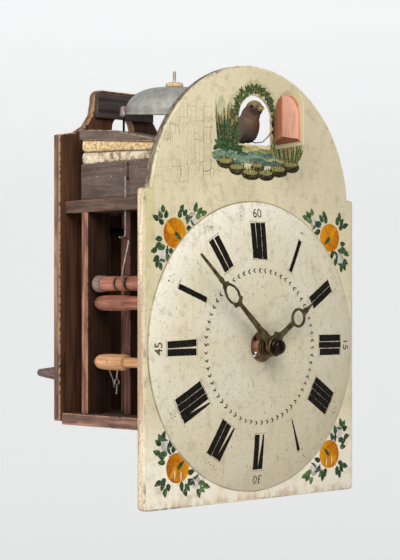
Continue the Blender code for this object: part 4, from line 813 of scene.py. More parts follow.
def makeFigures():
    # worn quarter figures outside the numerals
    strokes = []
    for text, hour in (("60", 0), ("15", 3), ("30", 6), ("45", 9)):
        curve = bpy.data.curves.new("figure" + text, "FONT")
        curve.body = text
        curve.size = 10.5
        curve.offset = .16
        curve.align_x = curve.align_y = "CENTER"
        curve.resolution_u = 3
        mesh = settled(newObject("figure" + text, curve), "figure" + text)
        angle = hour * math.pi / 6
        mesh.transform(Matrix.Rotation(-angle, 4, "Z") @ Matrix.Translation((0, 109.5, 0)))
        strokes.append(mesh)
    mesh = joined("dial.figures", strokes)
    shape = bmesh.new()
    shape.from_mesh(mesh)
    bmesh.ops.remove_doubles(shape, verts=shape.verts, dist=1e-3)
    front = shape.faces[:]
    made = bmesh.ops.extrude_face_region(shape, geom=front)["geom"]
    lifted = {v for v in made if isinstance(v, bmesh.types.BMVert)}
    for vert in shape.verts:
        x, z = vert.co.x, vert.co.y
        vert.co = spot(x, domeAt(x, z) + (-.08 if vert in lifted else .2), z)
    bmesh.ops.recalc_face_normals(shape, faces=shape.faces)
    shape.to_mesh(mesh)
    shape.free()
    setFloats(mesh, "shade", "POINT", [.5] * len(mesh.vertices))
    publish("dial.figures", mesh, "figure", "case", (), None, 60)


def scatterTree(name, leaf):
    # leaves along a path: count, size, how far they stray and how much they turn
    tree = bpy.data.node_groups.new(name, "GeometryNodeTree")
    face = tree.interface
    face.new_socket("Geometry", in_out="INPUT", socket_type="NodeSocketGeometry")
    for label, kind in (("Count", "Int"), ("Smallest", "Float"), ("Largest", "Float"), ("Stray", "Float"),
                        ("Turn", "Float"), ("Lean", "Float"), ("Seed", "Int"), ("Finish", "Material")):
        face.new_socket(label, in_out="INPUT", socket_type="NodeSocket" + kind)
    face.new_socket("Geometry", in_out="OUTPUT", socket_type="NodeSocketGeometry")
    given = addNode(tree, "NodeGroupInput").outputs
    dots = addNode(tree, "GeometryNodeCurveToPoints", {"Curve": given["Geometry"], "Count": given["Count"]})
    least = times(tree, given["Stray"], -1.)
    low = addNode(tree, "ShaderNodeCombineXYZ", {"X": least, "Z": least}).outputs[0]
    high = addNode(tree, "ShaderNodeCombineXYZ", {"X": given["Stray"], "Z": given["Stray"]}).outputs[0]
    stray = addNode(tree, "FunctionNodeRandomValue", {0: low, 1: high, "Seed": given["Seed"]},
                    data_type="FLOAT_VECTOR").outputs[0]
    placed = addNode(tree, "GeometryNodeSetPosition", {"Geometry": dots.outputs["Points"], "Offset": stray})
    along = addNode(tree, "FunctionNodeAlignRotationToVector", {"Vector": dots.outputs["Tangent"]},
                    axis="Z", pivot_axis="Y").outputs[0]
    small = maths(tree, "SUBTRACT", given["Lean"], given["Turn"])
    large = maths(tree, "ADD", given["Lean"], given["Turn"])
    angle = addNode(tree, "FunctionNodeRandomValue", {2: small, 3: large, "Seed": given["Seed"]},
                    data_type="FLOAT").outputs[1]
    twist = addNode(tree, "ShaderNodeCombineXYZ", {"Y": angle}).outputs[0]
    turned = addNode(tree, "FunctionNodeRotateRotation", {0: along, 1: twist},
                     rotation_space="LOCAL").outputs[0]
    size = addNode(tree, "FunctionNodeRandomValue", {2: given["Smallest"], 3: given["Largest"],
                                                     "Seed": given["Seed"]}, data_type="FLOAT").outputs[1]
    source = addNode(tree, "GeometryNodeObjectInfo", {"Object": leaf})
    copies = addNode(tree, "GeometryNodeInstanceOnPoints", {"Points": placed.outputs[0],
                                                            "Instance": source.outputs["Geometry"],
                                                            "Rotation": turned, "Scale": size})
    tone = addNode(tree, "FunctionNodeRandomValue", {2: 0., 3: 1., "Seed": given["Seed"]},
                   data_type="FLOAT").outputs[1]
    shaded = addNode(tree, "GeometryNodeStoreNamedAttribute", {"Geometry": copies.outputs[0], "Name": "shade",
                                                               "Value": tone}, data_type="FLOAT",
                                                               domain="INSTANCE")
    real = addNode(tree, "GeometryNodeRealizeInstances", {"Geometry": shaded.outputs[0]})
    coloured = addNode(tree, "GeometryNodeSetMaterial",
                       {"Geometry": real.outputs[0], "Material": given["Finish"]})
    addNode(tree, "NodeGroupOutput", {"Geometry": coloured.outputs[0]})
    return tree


def leafObject(name, length, width):
    # small closed leaf in x and z, a flake 0.3 mm thick
    rows = []
    for t, part in ((0, .04), (.2, .7), (.45, 1), (.75, .62), (1, .04)):
        rows.append([(width / 2 * part * side, (t - .5) * length) for side in (-1, 0, 1)])
    points = [Vector((x, y, z)) * .001 for y in (-.15, .15) for row in rows for x, z in row]
    faces = []
    for i in range(4):
        for j in range(2):
            a = i * 3 + j
            faces += [(a, a + 1, a + 4, a + 3), (a + 15, a + 18, a + 19, a + 16)]
    ring = [0, 1, 2, 5, 8, 11, 14, 13, 12, 9, 6, 3]
    faces += [(a, a + 15, b + 15, b) for a, b in zip(ring, ring[1:] + ring[:1])]
    mesh = bpy.data.meshes.new(name)
    mesh.from_pydata(points, [], faces)
    return newObject(name, mesh)


def scatter(name, path, tree, finish, lift, **values):
    # one modifier run along a closed path, then every leaf is laid on the painted face
    curve = bpy.data.curves.new(name, "CURVE")
    curve.dimensions = "3D"
    line = curve.splines.new("POLY")
    line.points.add(len(path) - 1)
    for point, (x, z) in zip(line.points, path):
        point.co = (*spot(x, 0, z), 1)
    line.use_cyclic_u = True
    obj = newObject(name, curve)
    run = obj.modifiers.new("scatter", "NODES")
    values["Finish"] = finishes[finish]
    run.node_group = tree
    for item in tree.interface.items_tree:
        if item.in_out == "INPUT" and item.name in values:
            run[item.identifier] = values[item.name]
    mesh = settled(obj, name)
    for vert in mesh.vertices:
        x, y, z = vert.co * 1000 - rowOffset
        vert.co = spot(x, domeAt(x, z) + (-lift if y < 0 else .2), z)
    return publish(name, mesh, finish, "case", (), None, 60)


makeNumerals()
makeFigures()
tick = leafObject("tick", 3.6, 1.3)
arms = bmesh.new()
for turn in (-.65, .65):
    arm = tick.data.copy()
    arm.transform(Matrix.Rotation(turn, 4, "Y") @ Matrix.Translation((0, 0, -.0014)))
    arms.from_mesh(arm)
arms.to_mesh(tick.data)
arms.free()
scatter("dial.leafRing", circle(62.7, 180)[::-1], scatterTree("leaf ring", tick), "tick", .08,
        Count=62, Smallest=.85, Largest=1.1, Stray=.12 * .001, Turn=.12, Lean=0., Seed=3)


# Apple roses in the four corners, half hidden by the dial's edge
roseSizes = dict(bloom=24.5, bud=11, leaf=7.6, leafWide=4.6)
leafSpots = [(-16, 13.8, -.5), (-10, 15, .2), (-15.4, 9, -1.0), (4.9, 15.6, .1), (10.9, 16.6, .7),
             (-17.3, -5, -1.6), (-18.2, -9.8, -2.0), (15.5, 4.2, 1.9), (-3.6, -15.4, 2.7), (27.3, 19, .8),
             (26, 14, 1.5), (31.5, 17, 1.2), (-19.1, -24.6, 3.5), (-15, -26.4, 2.9), (-20.6, -20.8, 4.1),
             (-20.5, 11.5, -1.2), (-13, 18.6, -.1), (8, 19.8, .3), (13.8, 12.6, 1.3), (-14.6, -12, 4.4),
             (-7.6, -20.4, 3.0), (22.6, 21.6, .3), (-22.4, -14, 4.4)]


def makeRoses():
    s = roseSizes
    bloom, green, bud, dusk = [], [], [], []
    for cx, cz, mx, mz in ((-90.2, 90.9, 1, 1), (92, 92.2, -1, 1), (-87.4, -94.8, 1, -1),
                           (91.4, -94.5, -1, -1)):
        def at(x, z):
            return (cx + mx * x + chance.uniform(-.5, .5), cz + mz * z + chance.uniform(-.5, .5))

        def way(turn):
            turn = turn if mx > 0 else -turn
            return turn if mz > 0 else math.pi - turn

        sides = (.05, .8) if mx > 0 else (.8, .25)
        bloom.append((blade((cx, cz), s["bloom"], s["bloom"], 0, roundForm, 0, 26, 10, .14), *sides, 0))
        bloom.append((blade(at(-5, 4), 13, 5.5, way(-.7), leafForm, 2.5, 10, 4), .65, .85, 1))
        bloom.append((blade(at(-3, -7), 14, 4, way(-2.0), leafForm, -2.5, 10, 4), .2, .4, 1))
        bloom.append((blade(at(4, 5), 10, 2.2, way(.7), leafForm, -1), .3, .5, 2))
        green.append((blade(at(3.4, -2.4), 10, 3.6, way(2.3), leafForm), .1, .6, 2))
        for x, z in ((-3, 6), (3.6, 7)) if mz < 0 else ():
            bud.append((blade(at(x, z), 8.5, 1.2, way(0), leafForm, .4), .7, 1, 4))
        for x, z, turn in leafSpots:
            rows = blade(at(x, z), s["leaf"] * chance.uniform(.85, 1.15), s["leafWide"], way(turn), leafForm,
                         chance.uniform(-.8, .8))
            tone = chance.uniform(0, .45) + (.35 if x > 20 else 0)
            green.append((rows, tone, tone + .25, 1))
        for x, z, turn, edge in ((19.1, 12.5, .9, (-3.6, -.8)), (-12.2, -17.9, 3.5, (3.2, 2.6))):
            bud.append((blade(at(x, z), s["bud"], s["bud"] * .95, way(turn), roundForm, 0, 14, 6), .1, .7, 0))
            bud.append((blade(at(x + 1.2, z + .6), 5, 2.6, way(turn), leafForm), .8, 1.1, 1))
            dusk.append((blade(at(x + edge[0], z + edge[1]), 10.5, 3, way(turn), leafForm, 1.8), 0, .4, 1))
            dusk.append((blade(at(x - edge[1] * .8, z - 4.4), 8, 2.2, way(turn + 1.3), leafForm, -1.2), .2,
                         .7, 1))
    for name, strokes, finish in (("blooms", bloom, "bloom"), ("buds", bud, "bud"),
                                  ("leaves", green, "green"), ("shades", dusk, "dusk")):
        paintMesh("corner." + name, strokes, finish, off="dial")


makeRoses()


# A leafy bower round the doorway: garland over the arch, reeds and ferns beside it, mossy mounds below
bowerSizes = dict(arch=19, spring=188, ground=163)
mounds = ((-34, 149.5, 20, 9), (43, 150.5, 21, 10), (3, 148, 16, 7), (-21, 145.2, 19, 9.5), (28, 146, 22, 10),
          (-5, 141.6, 22, 9), (13, 142, 20, 9))


def makeBower():
    s = bowerSizes
    layers = {kind: [] for kind in ("mist", "garland", "green", "bank", "pool", "pebble")}
    vary = chance.uniform

    def stroke(kind, x, z, length, width, turn, tone, layer, form=leafForm, bend=0., spread=.3):
        along = 14 if form is roundForm else 7
        layers[kind].append((blade((x, z), length, width, turn, form, bend, along, 3), tone, tone + spread,
                             layer))

    for k in range(40):
        a = math.pi * k / 39
        stroke("mist", -27 * math.cos(a) + vary(-2, 2), 189 + 25 * math.sin(a) + vary(-2, 2), 14, 9,
               math.pi / 2 - a, vary(.1, .8), 0)
        stroke("mist", vary(-43, -22), vary(160, 198), 16, 8, vary(-.4, .4), vary(.1, .8), 0)
        stroke("mist", vary(22, 46), vary(156, 192), 15, 8, vary(-.4, .4), vary(.1, .8), 0)
    for k in range(120):
        a, reach = math.pi * k / 119, s["arch"] + vary(2.2, 8.4)
        kind, tone, layer = (("garland", vary(-.2, .2), 1), ("garland", vary(.3, .75), 2),
                             ("garland", vary(0, .3), 2), ("green", vary(.1, .6), 3))[k % 4]
        stroke(kind, -reach * math.cos(a), s["spring"] + reach * math.sin(a), vary(4.5, 8), vary(1.8, 3),
               math.atan2(-math.cos(a), math.sin(a)) + vary(-.8, .8), tone, layer, bend=vary(-.8, .8))
    for k in range(44):
        side = -1 if k % 2 else 1
        stroke("garland", side * vary(20.8, 24.5), 166 + k * .52, vary(5, 8), vary(1.6, 2.6),
               side * vary(0, .9), vary(-.2, .4), 2)
    for k in range(34):
        x, length = -42 + k * .62, vary(20, 38)
        lean = (x + 33) * .022 + vary(-.07, .07)
        stroke("green" if k % 3 else "garland", x + math.sin(lean) * length / 2, s["ground"] + length / 2,
               length, 2.1, lean, vary(0, .45), 2 + k % 2, bend=vary(-1, 1))
        if k % 5 == 2:
            stroke("pebble", x + math.sin(lean) * length, s["ground"] + length - 1, 7, 2.4, lean, .7, 4,
                   roundForm)
    for k in range(26):
        stroke("green", -44 + k * 1.05, s["ground"] + vary(-2, 4), vary(7, 10), 4, vary(-1.1, 1.1),
               vary(0, .4), 4)
    for k in range(40):
        x, length = 23 + k * .75, vary(11, 24)
        lean = (x - 38) * .03 + vary(-.15, .15)
        stroke(("garland", "bank", "green")[k % 3], x + math.sin(lean) * length / 2, 155 + length / 2, length,
               1.8, lean, vary(.1, .7), 2 + k % 2, bend=vary(-1.2, 1.2))
    for z, kind, first, last, count, tall, layer in ((162, "bank", -40, 22, 18, 4.4, 1),
                                                     (158, "pool", -43, 40, 24, 4, 2),
                                                     (154.6, "bank", -44, 46, 24, 4.4, 1),
                                                     (152, "pool", -42, 44, 24, 4, 2)):
        for k in range(count):
            stroke(kind, first + (last - first) * k / (count - 1), z + vary(-1.6, 1.6), 14, tall,
                   math.pi / 2 + vary(-.08, .08), vary(0, .8), layer)
    for x, z, wide, tall in mounds:
        stroke("pebble", x, z, wide, tall, math.pi / 2, .3, 3, roundForm, spread=-.4)
        stroke("bank", x - .8, z + tall * .2, wide * .78, tall * .45, math.pi / 2, .7, 4, roundForm,
               spread=-.5)
        for k in range(7):
            stroke("garland", x + wide * (k - 3) * .13, z + tall * .42 + vary(-.6, .6), vary(3, 6), 1.3,
                   (k - 3) * .16 + vary(-.2, .2), vary(0, .7), 5)
    for kind, strokes in layers.items():
        paintMesh("bower." + kind, strokes, kind, off="doorway")


makeBower()
print("painting")


# Hands: filed from brass sheet, drawn pointing up and turned to 1:52
handSizes = dict(thick=1.2, edge=.35, hourY=-16, minuteY=-21, hourTurn=56, minuteTurn=-48)


def mirrored(right):
    # an outline from its right half, foot to tip
    return right + [(-x, z) for x, z in reversed(right) if abs(x) > 1e-6]


def makeHand(name, outlines, depth, turn, body, node):
    s = handSizes
    mesh = flatCurve(name, outlines, s["thick"], s["edge"])
    matrix = Matrix.Translation((0, depth - s["thick"] / 2, 0)) @ Matrix.Rotation(math.radians(turn), 4, "Y")
    publish(name, toRow(mesh, matrix), "handBrass", body, [node], "aged_brass", 30)


def makeHands():
    bossRight = rightArc(7.4, 1, 16)
    minute = [(0, -7.4)] + bossRight + [(3.9, 9.5), (3.4, 12), (4.1, 14), (2.9, 20), (2.3, 36), (1.7, 51),
                                        (2.7, 52), (3.9, 53), (5.6, 53.6), (6, 55.2), (5.3, 56.4), (6.9, 61),
                                        (6.9, 66), (5.2, 71), (3.6, 73.6), (4.1, 74.8), (2.4, 75.8),
                                        (1.7, 78), (2.5, 80), (1.6, 84), (1.4, 98), (1.05, 110.6),
                                        (.5, 110.9)]
    loop = [(0, 55.4), (2.7, 56.2), (5.1, 61.3), (5.1, 65.7), (3.1, 71), (0, 72.6)]
    hub = circle(3.35, 28)
    makeHand("minute_hand.filed", [mirrored(minute), mirrored(loop), hub], handSizes["minuteY"],
             handSizes["minuteTurn"], "minute", "minute_hand")
    wide = rightArc(8.6, 1, 15)
    ring = rightArc(8.3, 3, 18, 42)
    hour = [(0, -8.6)] + wide + [(5.2, 9.4), (6.6, 12.6), (4.2, 15), (2.7, 17.5), (2.2, 26),
                                 (2.4, 33.5)] + ring
    hour += [(2.2, 51), (3.2, 52.2), (2.2, 53.6), (1.7, 56), (.35, 63.9)]
    eye = circle(6, 30, 42)
    makeHand("hour_hand.filed", [mirrored(hour), eye, circle(4.85, 28)], handSizes["hourY"],
             handSizes["hourTurn"], "hour", "hour_hand")
    collet = [(4.9, 0), (7.8, 0), (8.3, .3), (8.4, 1.2), (7.9, 1.5), (7.9, 1.8), (8.8, 2.1), (9, 2.5),
              (9, 3.3), (8.6, 3.6), (4.9, 3.6), (4.9, 0)]
    publishTurned("hour_hand.collet", collet, ((0, -11.4, 0), (0, -1, 0)), "handBrass", "hour")
    washer = [(3.2, 0), (7.6, 0), (8, .4), (8, 1.4), (7.5, 2), (4.2, 2), (3.2, 1.8), (3.2, 0)]
    publishTurned("hand_washer.turned", washer, ((0, -22.2, 0), (0, -1, 0)), "handBrass", "minute",
                  ["hand_washer"], "aged_brass")
    nut = [(0, 0), (6.4, 0), (6.9, .5), (6.9, 1.7), (6.3, 2.2), (6.3, 3), (5.9, 4.4), (4.9, 5.8), (3, 6.9),
           (0, 7.4)]
    publishTurned("hand_nut.turned", nut, ((0, -24.6, 0), (0, -1, 0)), "nut", "minute", ["hand_nut"])


makeHands()
print("hands")


# Bell, its rod and button, and the hammer
bellSizes = dict(radius=42.5, rim=199.5, top=224, wall=2.2, y=98, lean=math.radians(6.5))


def makeBell():
    s = bellSizes
    outer = [(s["radius"] - 1.2, 0), (s["radius"], .5), (s["radius"], 1.9), (s["radius"] - .7, 2.8)]
    outer += [(s["radius"] * math.cos(a) ** .72, 2.8 + 21.7 * math.sin(a)) for a in
              [math.pi / 2 * k / 16 for k in range(1, 15)]]
    outer += [(7, 24.1), (2.6, 24.5)]
    inner = [(max(2.6, r - s["wall"] * (.45 if h > 20 else 1)), h - (s["wall"] if h > 8 else .4))
             for r, h in reversed(outer[1:-1])]
    inner = [(2.6, 22.3)] + inner
    profile = outer + inner + [outer[0]]
    lean = Vector((-.69 * math.sin(s["lean"]), -.72 * math.sin(s["lean"]), math.cos(s["lean"])))
    crown = Vector((0, s["y"], s["top"]))
    axis = (crown - lean * (s["top"] - s["rim"]), lean)
    mesh = lathe("bell.cast", profile, axis, 96)
    # faces inside the bell, which its finish paints paler as painted light
    hollow = []
    for face in mesh.polygons:
        outward = face.center * 1000 - rowOffset - axis[0] + lean * 6
        hollow.append(float(outward.dot(face.normal) < 0))
    setFloats(mesh, "inside", "FACE", hollow)
    publish("bell.cast", mesh, "bell", "case", ["bell"], "cast_bell_metal")
    button = [(2, 0), (6.8, 0), (7.8, 1), (7.8, 2.2), (7, 3.4), (4.5, 4.2), (2, 4.5), (2, 0)]
    seat = (crown - lean * .5, lean)
    publishTurned("bell_collar.turned", button, seat, "collar", "case", ["bell_collar"])


makeBell()
for node, finish, body in (("bell_rod", "iron", "case"), ("hammer", "hammer", "hammer_body"),
                           ("standoff_peg_left", "standoff", "case"),
                           ("standoff_peg_right", "standoff", "case")):
    wornCopy(node, finish, body, .35)
hammerSizes = dict(headFoot=197)
stem = bpy.data.objects["hammer.worn"].data
stem.materials.append(finishes["nut"])
for face in stem.polygons:
    face.material_index = int((face.center * 1000 - rowOffset).z < hammerSizes["headFoot"])


# Case boards
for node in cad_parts:
    if "strip_" in node:
        # the middle left strip is painted darker as painted shade
        choice = {"front_strip_centre": "beechPale", "middle_strip_left": "beechInPaintedShade"}
        # the centre strip takes a paler beech as painted light
        wornCopy(node, choice.get(node, "beech"), "case", .8, None, 1)
    elif "shield_peg" in node:
        wornCopy(node, "peg", "case", .4)
for node, finish, edge, broad in (("backboard", "backboard", 1.1, 1), ("crest_cleat", "crest", .8, 1),
                                  ("top_plate", "beechFlat", 1, 2), ("bottom_plate", "beechFoot", 1, 2),
                                  ("shield_batten_upper", "beechFlat", .7, None),
                                  ("shield_batten_lower", "beechFlat", .7, None),
                                  ("pipe_left", "pipe", .7, None), ("pipe_right", "pipe", .7, None),
                                  ("bird_rail", "peg", .5, None)):
    wornCopy(node, finish, "case", edge, None, broad)
wornCopy("bellows_lid_left", "lid", "lid_left", .7)
wornCopy("bellows_lid_right", "lid", "lid_right", .7)
wornCopy("bird_carriage", "peg", "bird_body", .4)
print("case")


# Lever arbors: turned bodies, each with its bent wires
leverSizes = dict(x=-58, back=132, long=94.6, radius=6.2, pin=7.4, pinRadius=1.5)
leverForms = {
    "lifting_arbor": ("lifting", "turned", 52.4, (
        (.9, .094), (1.0, .096), (1.03, .104), (1.03, .268), (1.0, .273), (.84, .278), (.82, .281),
        (.82, .307), (.84, .31), (1.0, .315), (1.03, .32), (1.03, .4), (1.0, .405), (.84, .41), (.82, .413),
        (.82, .448), (.84, .451), (.96, .456), (1, .462), (1, .6), (.97, .605), (1, .61), (1, .98))),
    "locking_arbor": ("locking", "turned", 35.9, (
        (.3, 0), (.55, .004), (.78, .016), (.92, .032), (1.0, .06), (1.06, .1), (1.06, .124), (1.02, .127),
        (1.06, .13), (1.08, .2), (1.08, .3), (1.06, .4), (1.0, .407), (1.03, .414), (1.02, .43), (.94, .438),
        (.94, .98))),
    "count_arbor": ("count", "turnedLight", -14.4, (
        (.3, 0), (.6, .005), (.84, .018), (.97, .038), (1.06, .08), (1.1, .14), (1.13, .24), (1.13, .375),
        (1.1, .386), (.95, .392), (.7, .4), (.68, .41), (.68, .98)))}
leverWires = {
    "lifting_arbor": ((((0, 0), (-6.8, 4), (-7, 8), (.6, 35.4), (.2, 37), (-1.6, 37.8), (-9.6, 38.6)), 92.56,
                       .8),
                      (((0, 0), (12, -4), (22, -10)), 111.98, .9)),
    "locking_arbor": ((((0, 0), (16, 3), (30, 12)), 115.98, .9),),
    "count_arbor": ((((0, 0), (-5.2, -6), (-6.2, -10), (-6.2, -14)), 99.99, .6),
                    ([(-6.2 + 2.4 * math.sin(k * .449), -16.4 + 2.4 * math.cos(k * .449)) for k in range(15)],
                     99.99, .6),
                    (((-6.2, -18.6), (-6.3, -22), (-6.8, -26.5)), 99.99, .6),
                    (((0, 0), (8, -14), (10, -22)), 121.98, .6))}


def makeLevers():
    s = leverSizes
    for node, (body, finish, z, shares) in leverForms.items():
        axis = ((s["x"], s["back"], z), (0, -1, 0))
        profile = [(0, 0)] + [(r * s["radius"], h * s["long"]) for r, h in shares] + [(0, .98 * s["long"])]
        mesh = lathe(node + ".turned", profile, axis, 48)
        # faces in the grooves of the lifting arbor, painted dark as painted shade
        grooves = []
        for face in mesh.polygons:
            place = face.center * 1000 - rowOffset
            grooves.append(float(math.hypot(place.x - s["x"],
                                            place.z - z) < .9 * s["radius"] and body == "lifting"))
        setFloats(mesh, "groove", "FACE", grooves)
        publish(node + ".turned", mesh, finish, body, [node], "turned_wood", 30)
        pins = [lathe("pin", [(s["pinRadius"], -s["pin"]), (s["pinRadius"], s["long"] + s["pin"])], axis, 20)]
        for points, y, thick in leverWires[node]:
            pins.append(wire("lever", [(s["x"] + x, y, z + h) for x, h in points], thick))
        publish(node + ".wires", joined(node + ".wires", pins), "iron", body, (), None, 50)
    lifting = ((s["x"], s["back"], leverForms["lifting_arbor"][2]), (0, -1, 0))
    flange = [(0, 0), (6.6, 0), (7.1, .5), (7.2, 1), (7.2, 7.6), (7, 8.2), (6.4, 8.6), (5.4, 8.9), (0, 8.9)]
    publishTurned("lifting_arbor.flange", flange, lifting, "flange", "lifting", steps=48)
    nail = ((s["x"] - 6.9, 112, leverForms["count_arbor"][2] + .6), (-1, -.25, .05))
    head = [(0, -2), (1.1, -2), (1.1, -.1), (.8, .12), (0, .2)]
    publishTurned("count_arbor.nail", head, nail, "iron", "count", steps=20)


makeLevers()

# Metal and small pieces that keep their solids
# the strike great wheel takes the pale brass, painted light
plain = {"brassPaintedLight": ("strike_great_wheel",),
        "brass": ("going_great_wheel", "going_second_wheel", "escape_wheel", "strike_pin_wheel",
                  "strike_warning_wheel", "minute_pipe", "motion_wheel"),
        "redBrass": ("hour_wheel",),
        "blackIron": ("fly", "anchor", "centre_stud", "motion_stud"),
        "iron": ("lift_wire", "door_link", "door_hinge_staple")}
for finish, nodes in plain.items():
    for node in nodes:
        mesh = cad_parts[node].data
        mesh.materials.clear()
        mesh.materials.append(finishes[finish])


# Bellows skins: two pleats between the pipe block and the lid
leatherSizes = dict(x=(33, 62), y=(50, 150), foot=155.8, front=168.35, back=177.1, inset=1.0,
                    out=1.5, inward=1.4, corner=2.2, lidStart=49, lidLong=102, lidRise=8.7,
                    lidMiddle=(100, 172.85))


def makeLeather(side, node):
    s = leatherSizes
    near, far = s["x"]
    centre = (side * (near + far) / 2, sum(s["y"]) / 2)
    half = ((far - near) / 2 - s["inset"], (s["y"][1] - s["y"][0]) / 2 - s["inset"])
    levels = 28
    points, faces, shades, creases = [], [], [], []
    corner = s["corner"]
    ring = []
    sides = ((1, 1), (-1, 1), (-1, -1), (1, -1))
    for k, (sx, sy) in enumerate(sides):
        for step in range(5):
            turn = k * math.pi / 2 + math.pi / 2 * step / 4
            ring.append((sx * (half[0] - corner) + corner * math.cos(turn),
                         sy * (half[1] - corner) + corner * math.sin(turn), math.cos(turn), math.sin(turn)))
        nx, ny = sides[(k + 1) % 4]
        ax, ay = sx * (half[0] - corner), sy * (half[1] - corner)
        bx, by = nx * (half[0] - corner), ny * (half[1] - corner)
        cx, cy = math.cos((k + 1) * math.pi / 2), math.sin((k + 1) * math.pi / 2)
        count = 12 if k % 2 == 0 else 36
        for step in range(1, count):
            t = step / count
            ring.append((ax + (bx - ax) * t + corner * cx, ay + (by - ay) * t + corner * cy, cx, cy))
    for level in range(levels + 1):
        t = level / levels
        wave = abs(math.sin(t * math.pi * 2)) ** .45
        fold = s["out"] * wave - s["inward"] * (1 - wave) * math.sin(math.pi * t)
        for x, y, nx, ny in ring:
            place = Vector((x, y, t * 9))
            crumple = noise.noise(place * .16) * .3 + noise.noise(place * .7) * .18
            reach = (fold + crumple * math.sin(math.pi * t)) * .8
            py = centre[1] + y + ny * reach
            top = s["front"] + (s["back"] - s["front"]) * min(1, max(0, (py - s["lidStart"]) / s["lidLong"]))
            height = s["foot"] + (top - s["foot"]) * t
            sag = -noise.noise(place * .15 + Vector((9, 0, 0))) * .5 * math.sin(math.pi * t)
            points.append((centre[0] + x + nx * reach, py, height + sag))
            shades.append(max(0., min(1., (t - .46) * 14)))
            # crease marks the inward middle fold, painted dark as painted shade
            creases.append(max(0., 1 - abs(t - .5) * 18))
    size = len(ring)
    for level in range(levels):
        for k in range(size):
            a, b = level * size + k, level * size + (k + 1) % size
            faces.append((a, b, b + size, a + size))
    faces.append(tuple(range(size))[::-1])
    faces.append(tuple(range(levels * size, (levels + 1) * size)))
    mesh = bpy.data.meshes.new(node + ".skin")
    mesh.from_pydata([spot(*p) for p in points], [], faces)
    setFloats(mesh, "shade", "POINT", shades)
    setFloats(mesh, "crease", "POINT", creases)
    reworked(mesh, split=True)
    mesh.materials.append(finishes["leather"])
    mesh.shade_smooth()
    obj = newObject(node + ".skin", mesh)
    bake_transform(obj)
    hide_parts(node)


makeLeather(-1, "bellows_leather_left")
makeLeather(1, "bellows_leather_right")
print("bellows")


# Bird: body, head, wings and bill drawn together, then carved smooth
def egg(centre, radii, tilt=0.):
    shape = bmesh.new()
    bmesh.ops.create_uvsphere(shape, u_segments=32, v_segments=20, radius=1)
    shape.transform(Matrix.Translation(centre) @ Matrix.Rotation(tilt, 4, "X") @ Matrix.Diagonal((*radii, 1)))
    mesh = bpy.data.meshes.new("egg")
    shape.to_mesh(mesh)
    shape.free()
    return mesh


def makeBird():
    lumps = [egg((0, 7.5, 182.5), (9, 9.4, 14.3), .12), egg((0, 1, 196.4), (7.1, 7.3, 7)),
             egg((0, 5.2, 191.2), (7.6, 8.2, 8.6), .5), egg((7.8, 9, 181), (1.3, 6, 10.5), .18),
             egg((-7.8, 9, 181), (1.3, 6, 10.5), .18), egg((0, 15.4, 173.4), (4.8, 4, 6.4), .25)]
    bill = bmesh.new()
    bmesh.ops.create_cone(bill, segments=20, radius1=3, radius2=.35, depth=8.6, cap_ends=True)
    bill.transform(Matrix.Translation((0, -7.1, 195.4)) @ Matrix.Rotation(math.pi / 2, 4, "X"))
    cone = bpy.data.meshes.new("bill")
    bill.to_mesh(cone)
    bill.free()
    obj = newObject("bird.carved", joined("bird.carved", lumps + [cone]))
    remesh = obj.modifiers.new("carve", "REMESH")
    remesh.mode, remesh.voxel_size = "VOXEL", .42
    soft = obj.modifiers.new("smooth", "SMOOTH")
    soft.factor, soft.iterations = .5, 7
    mesh = toRow(settled(obj, "bird.carved"))
    publish("bird.carved", mesh, "bird", "bird_body", ["bird"], "painted_bird", 80)
    eyes = [lathe("eye", [(0, 0), (1.15, .15), (1, .7), (.55, 1.05), (0, 1.15)],
                  ((side * 6.1, -2.6, 197.6), (side, -.45, .1)), 20) for side in (-1, 1)]
    publish("bird.eyes", joined("bird.eyes", eyes), "numeral", "bird_body")


makeBird()


# Door: the carved leaf again, with a tone for each facet as painted light and shade
def makeDoor():
    obj = wornCopy("door", "door", "door_body", .3, "red_door_paint")
    shape = bmesh.new()
    shape.from_mesh(obj.data)
    tone, lap = shape.faces.layers.float.new("shade"), shape.faces.layers.float.new("lap")
    opened = math.radians(75)
    inward = Vector((-math.sin(opened), math.cos(opened), 0))
    hinge = Vector((22.9, -1.2, 0))
    for face in shape.faces:
        n = face.normal
        depth = (face.calc_center_median() * 1000 - rowOffset - hinge).dot(inward)
        face[lap] = float(depth < 1.05 and n.dot(inward) > -.5)
        # painted light and shade by facet: the underside darkest, the side turned left towards the lamps
        # lightest, the rest between
        if n.z < -.3:
            face[tone] = .05
        elif n.z > .3:
            face[tone] = .5
        elif n.x < -.3 and n.y < .25:
            face[tone] = 1.
        elif n.y >= .25:
            face[tone] = .5
        else:
            face[tone] = .7
    shape.to_mesh(obj.data)
    shape.free()


makeDoor()
print("bird and door")


# Stage: pale floor that sweeps up behind, soft light from above left, camera where the photo was taken
lamps = {"key": ((-.8, -1.1, .7), .9, 19), "fill": ((1.6, -2.2, .4), 1.8, 3),
         "rim": ((-2.1, 1.1, 1.0), 1.4, 11), "bounce": ((-1.0, .2, -.56), 1.0, 5.5)}  # place, size, power
stageSizes = dict(floor=-.62, half=5, lampAim=(0, -.05, -.12), eye=(-.9877, -1.1416, -.1591), lens=107.5,
                  sensor=36, shift=.0484)


def facing(place, direction):
    turn = direction.to_track_quat("-Z", "Y").to_matrix().to_4x4()
    return Matrix.Translation(place) @ turn


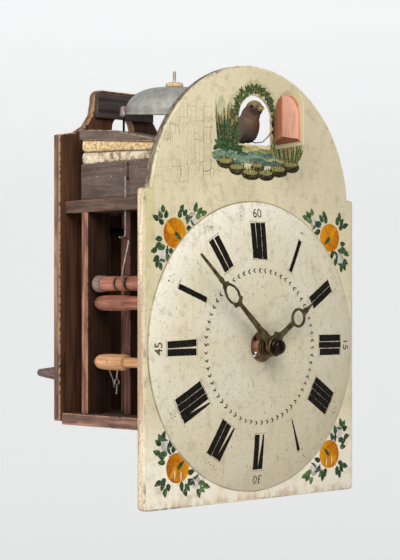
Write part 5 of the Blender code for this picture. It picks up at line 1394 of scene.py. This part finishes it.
def makeStage():
    s = stageSizes
    material, tree, shader, coords = newFinish("matt pale paper sweep", .9)
    shader.inputs["Base Color"].default_value = linear("#f2f2f2")
    seen = addNode(tree, "ShaderNodeLightPath").outputs["Is Camera Ray"]
    shader.inputs["Emission Color"].default_value = linear("#f6f8f9")
    height = addNode(tree, "ShaderNodeSeparateXYZ", {"Vector": coords}).outputs["Z"]
    glow = between(tree, height, .1, .6, .33, .43)  # paler towards the top
    tree.links.new(times(tree, seen, glow), shader.inputs["Emission Strength"])
    profile = [(-2.2, 0), (1.6, 0)] + [(1.6 + 1.2 * math.sin(a), 1.2 - 1.2 * math.cos(a))
                                       for a in [math.pi / 2 * k / 12 for k in range(1, 13)]] + [(2.8, 3.6)]
    ahead, aside = Vector((.6909, .7229, 0)), Vector((.7229, -.6909, 0))
    points = [ahead * d + aside * w + Vector((0, 0, h + s["floor"])) for d,
              h in profile for w in (-s["half"], s["half"])]
    faces = [(2 * k, 2 * k + 1, 2 * k + 3, 2 * k + 2) for k in range(len(profile) - 1)]
    mesh = bpy.data.meshes.new("sweep")
    mesh.from_pydata(points, [], faces)
    mesh.materials.append(material)
    mesh.shade_smooth()
    newObject("sweep", mesh)
    world = bpy.data.worlds.new("studio")
    scene.world = world
    world.use_nodes = True
    back = world.node_tree.nodes["Background"]
    back.inputs["Color"].default_value = linear("#fbfbfb")
    seen = addNode(world.node_tree, "ShaderNodeLightPath").outputs["Is Camera Ray"]
    strength = between(world.node_tree, seen, 0, 1, .4, .84)
    world.node_tree.links.new(strength, back.inputs["Strength"])
    for name, (place, size, power) in lamps.items():
        light = bpy.data.lights.new(name, "AREA")
        light.size, light.energy = size, power
        obj = newObject(name, light)
        obj.matrix_world = facing(place, Vector(s["lampAim"]) - Vector(place))
    camera = bpy.data.cameras.new("camera")
    camera.lens, camera.sensor_width, camera.shift_y = s["lens"], s["sensor"], s["shift"]
    obj = newObject("camera", camera)
    obj.matrix_world = facing(s["eye"], ahead)
    scene.camera = obj
    scene.view_settings.view_transform = "Standard"


makeStage()
bpy.data.objects.remove(tick)
print("stage")
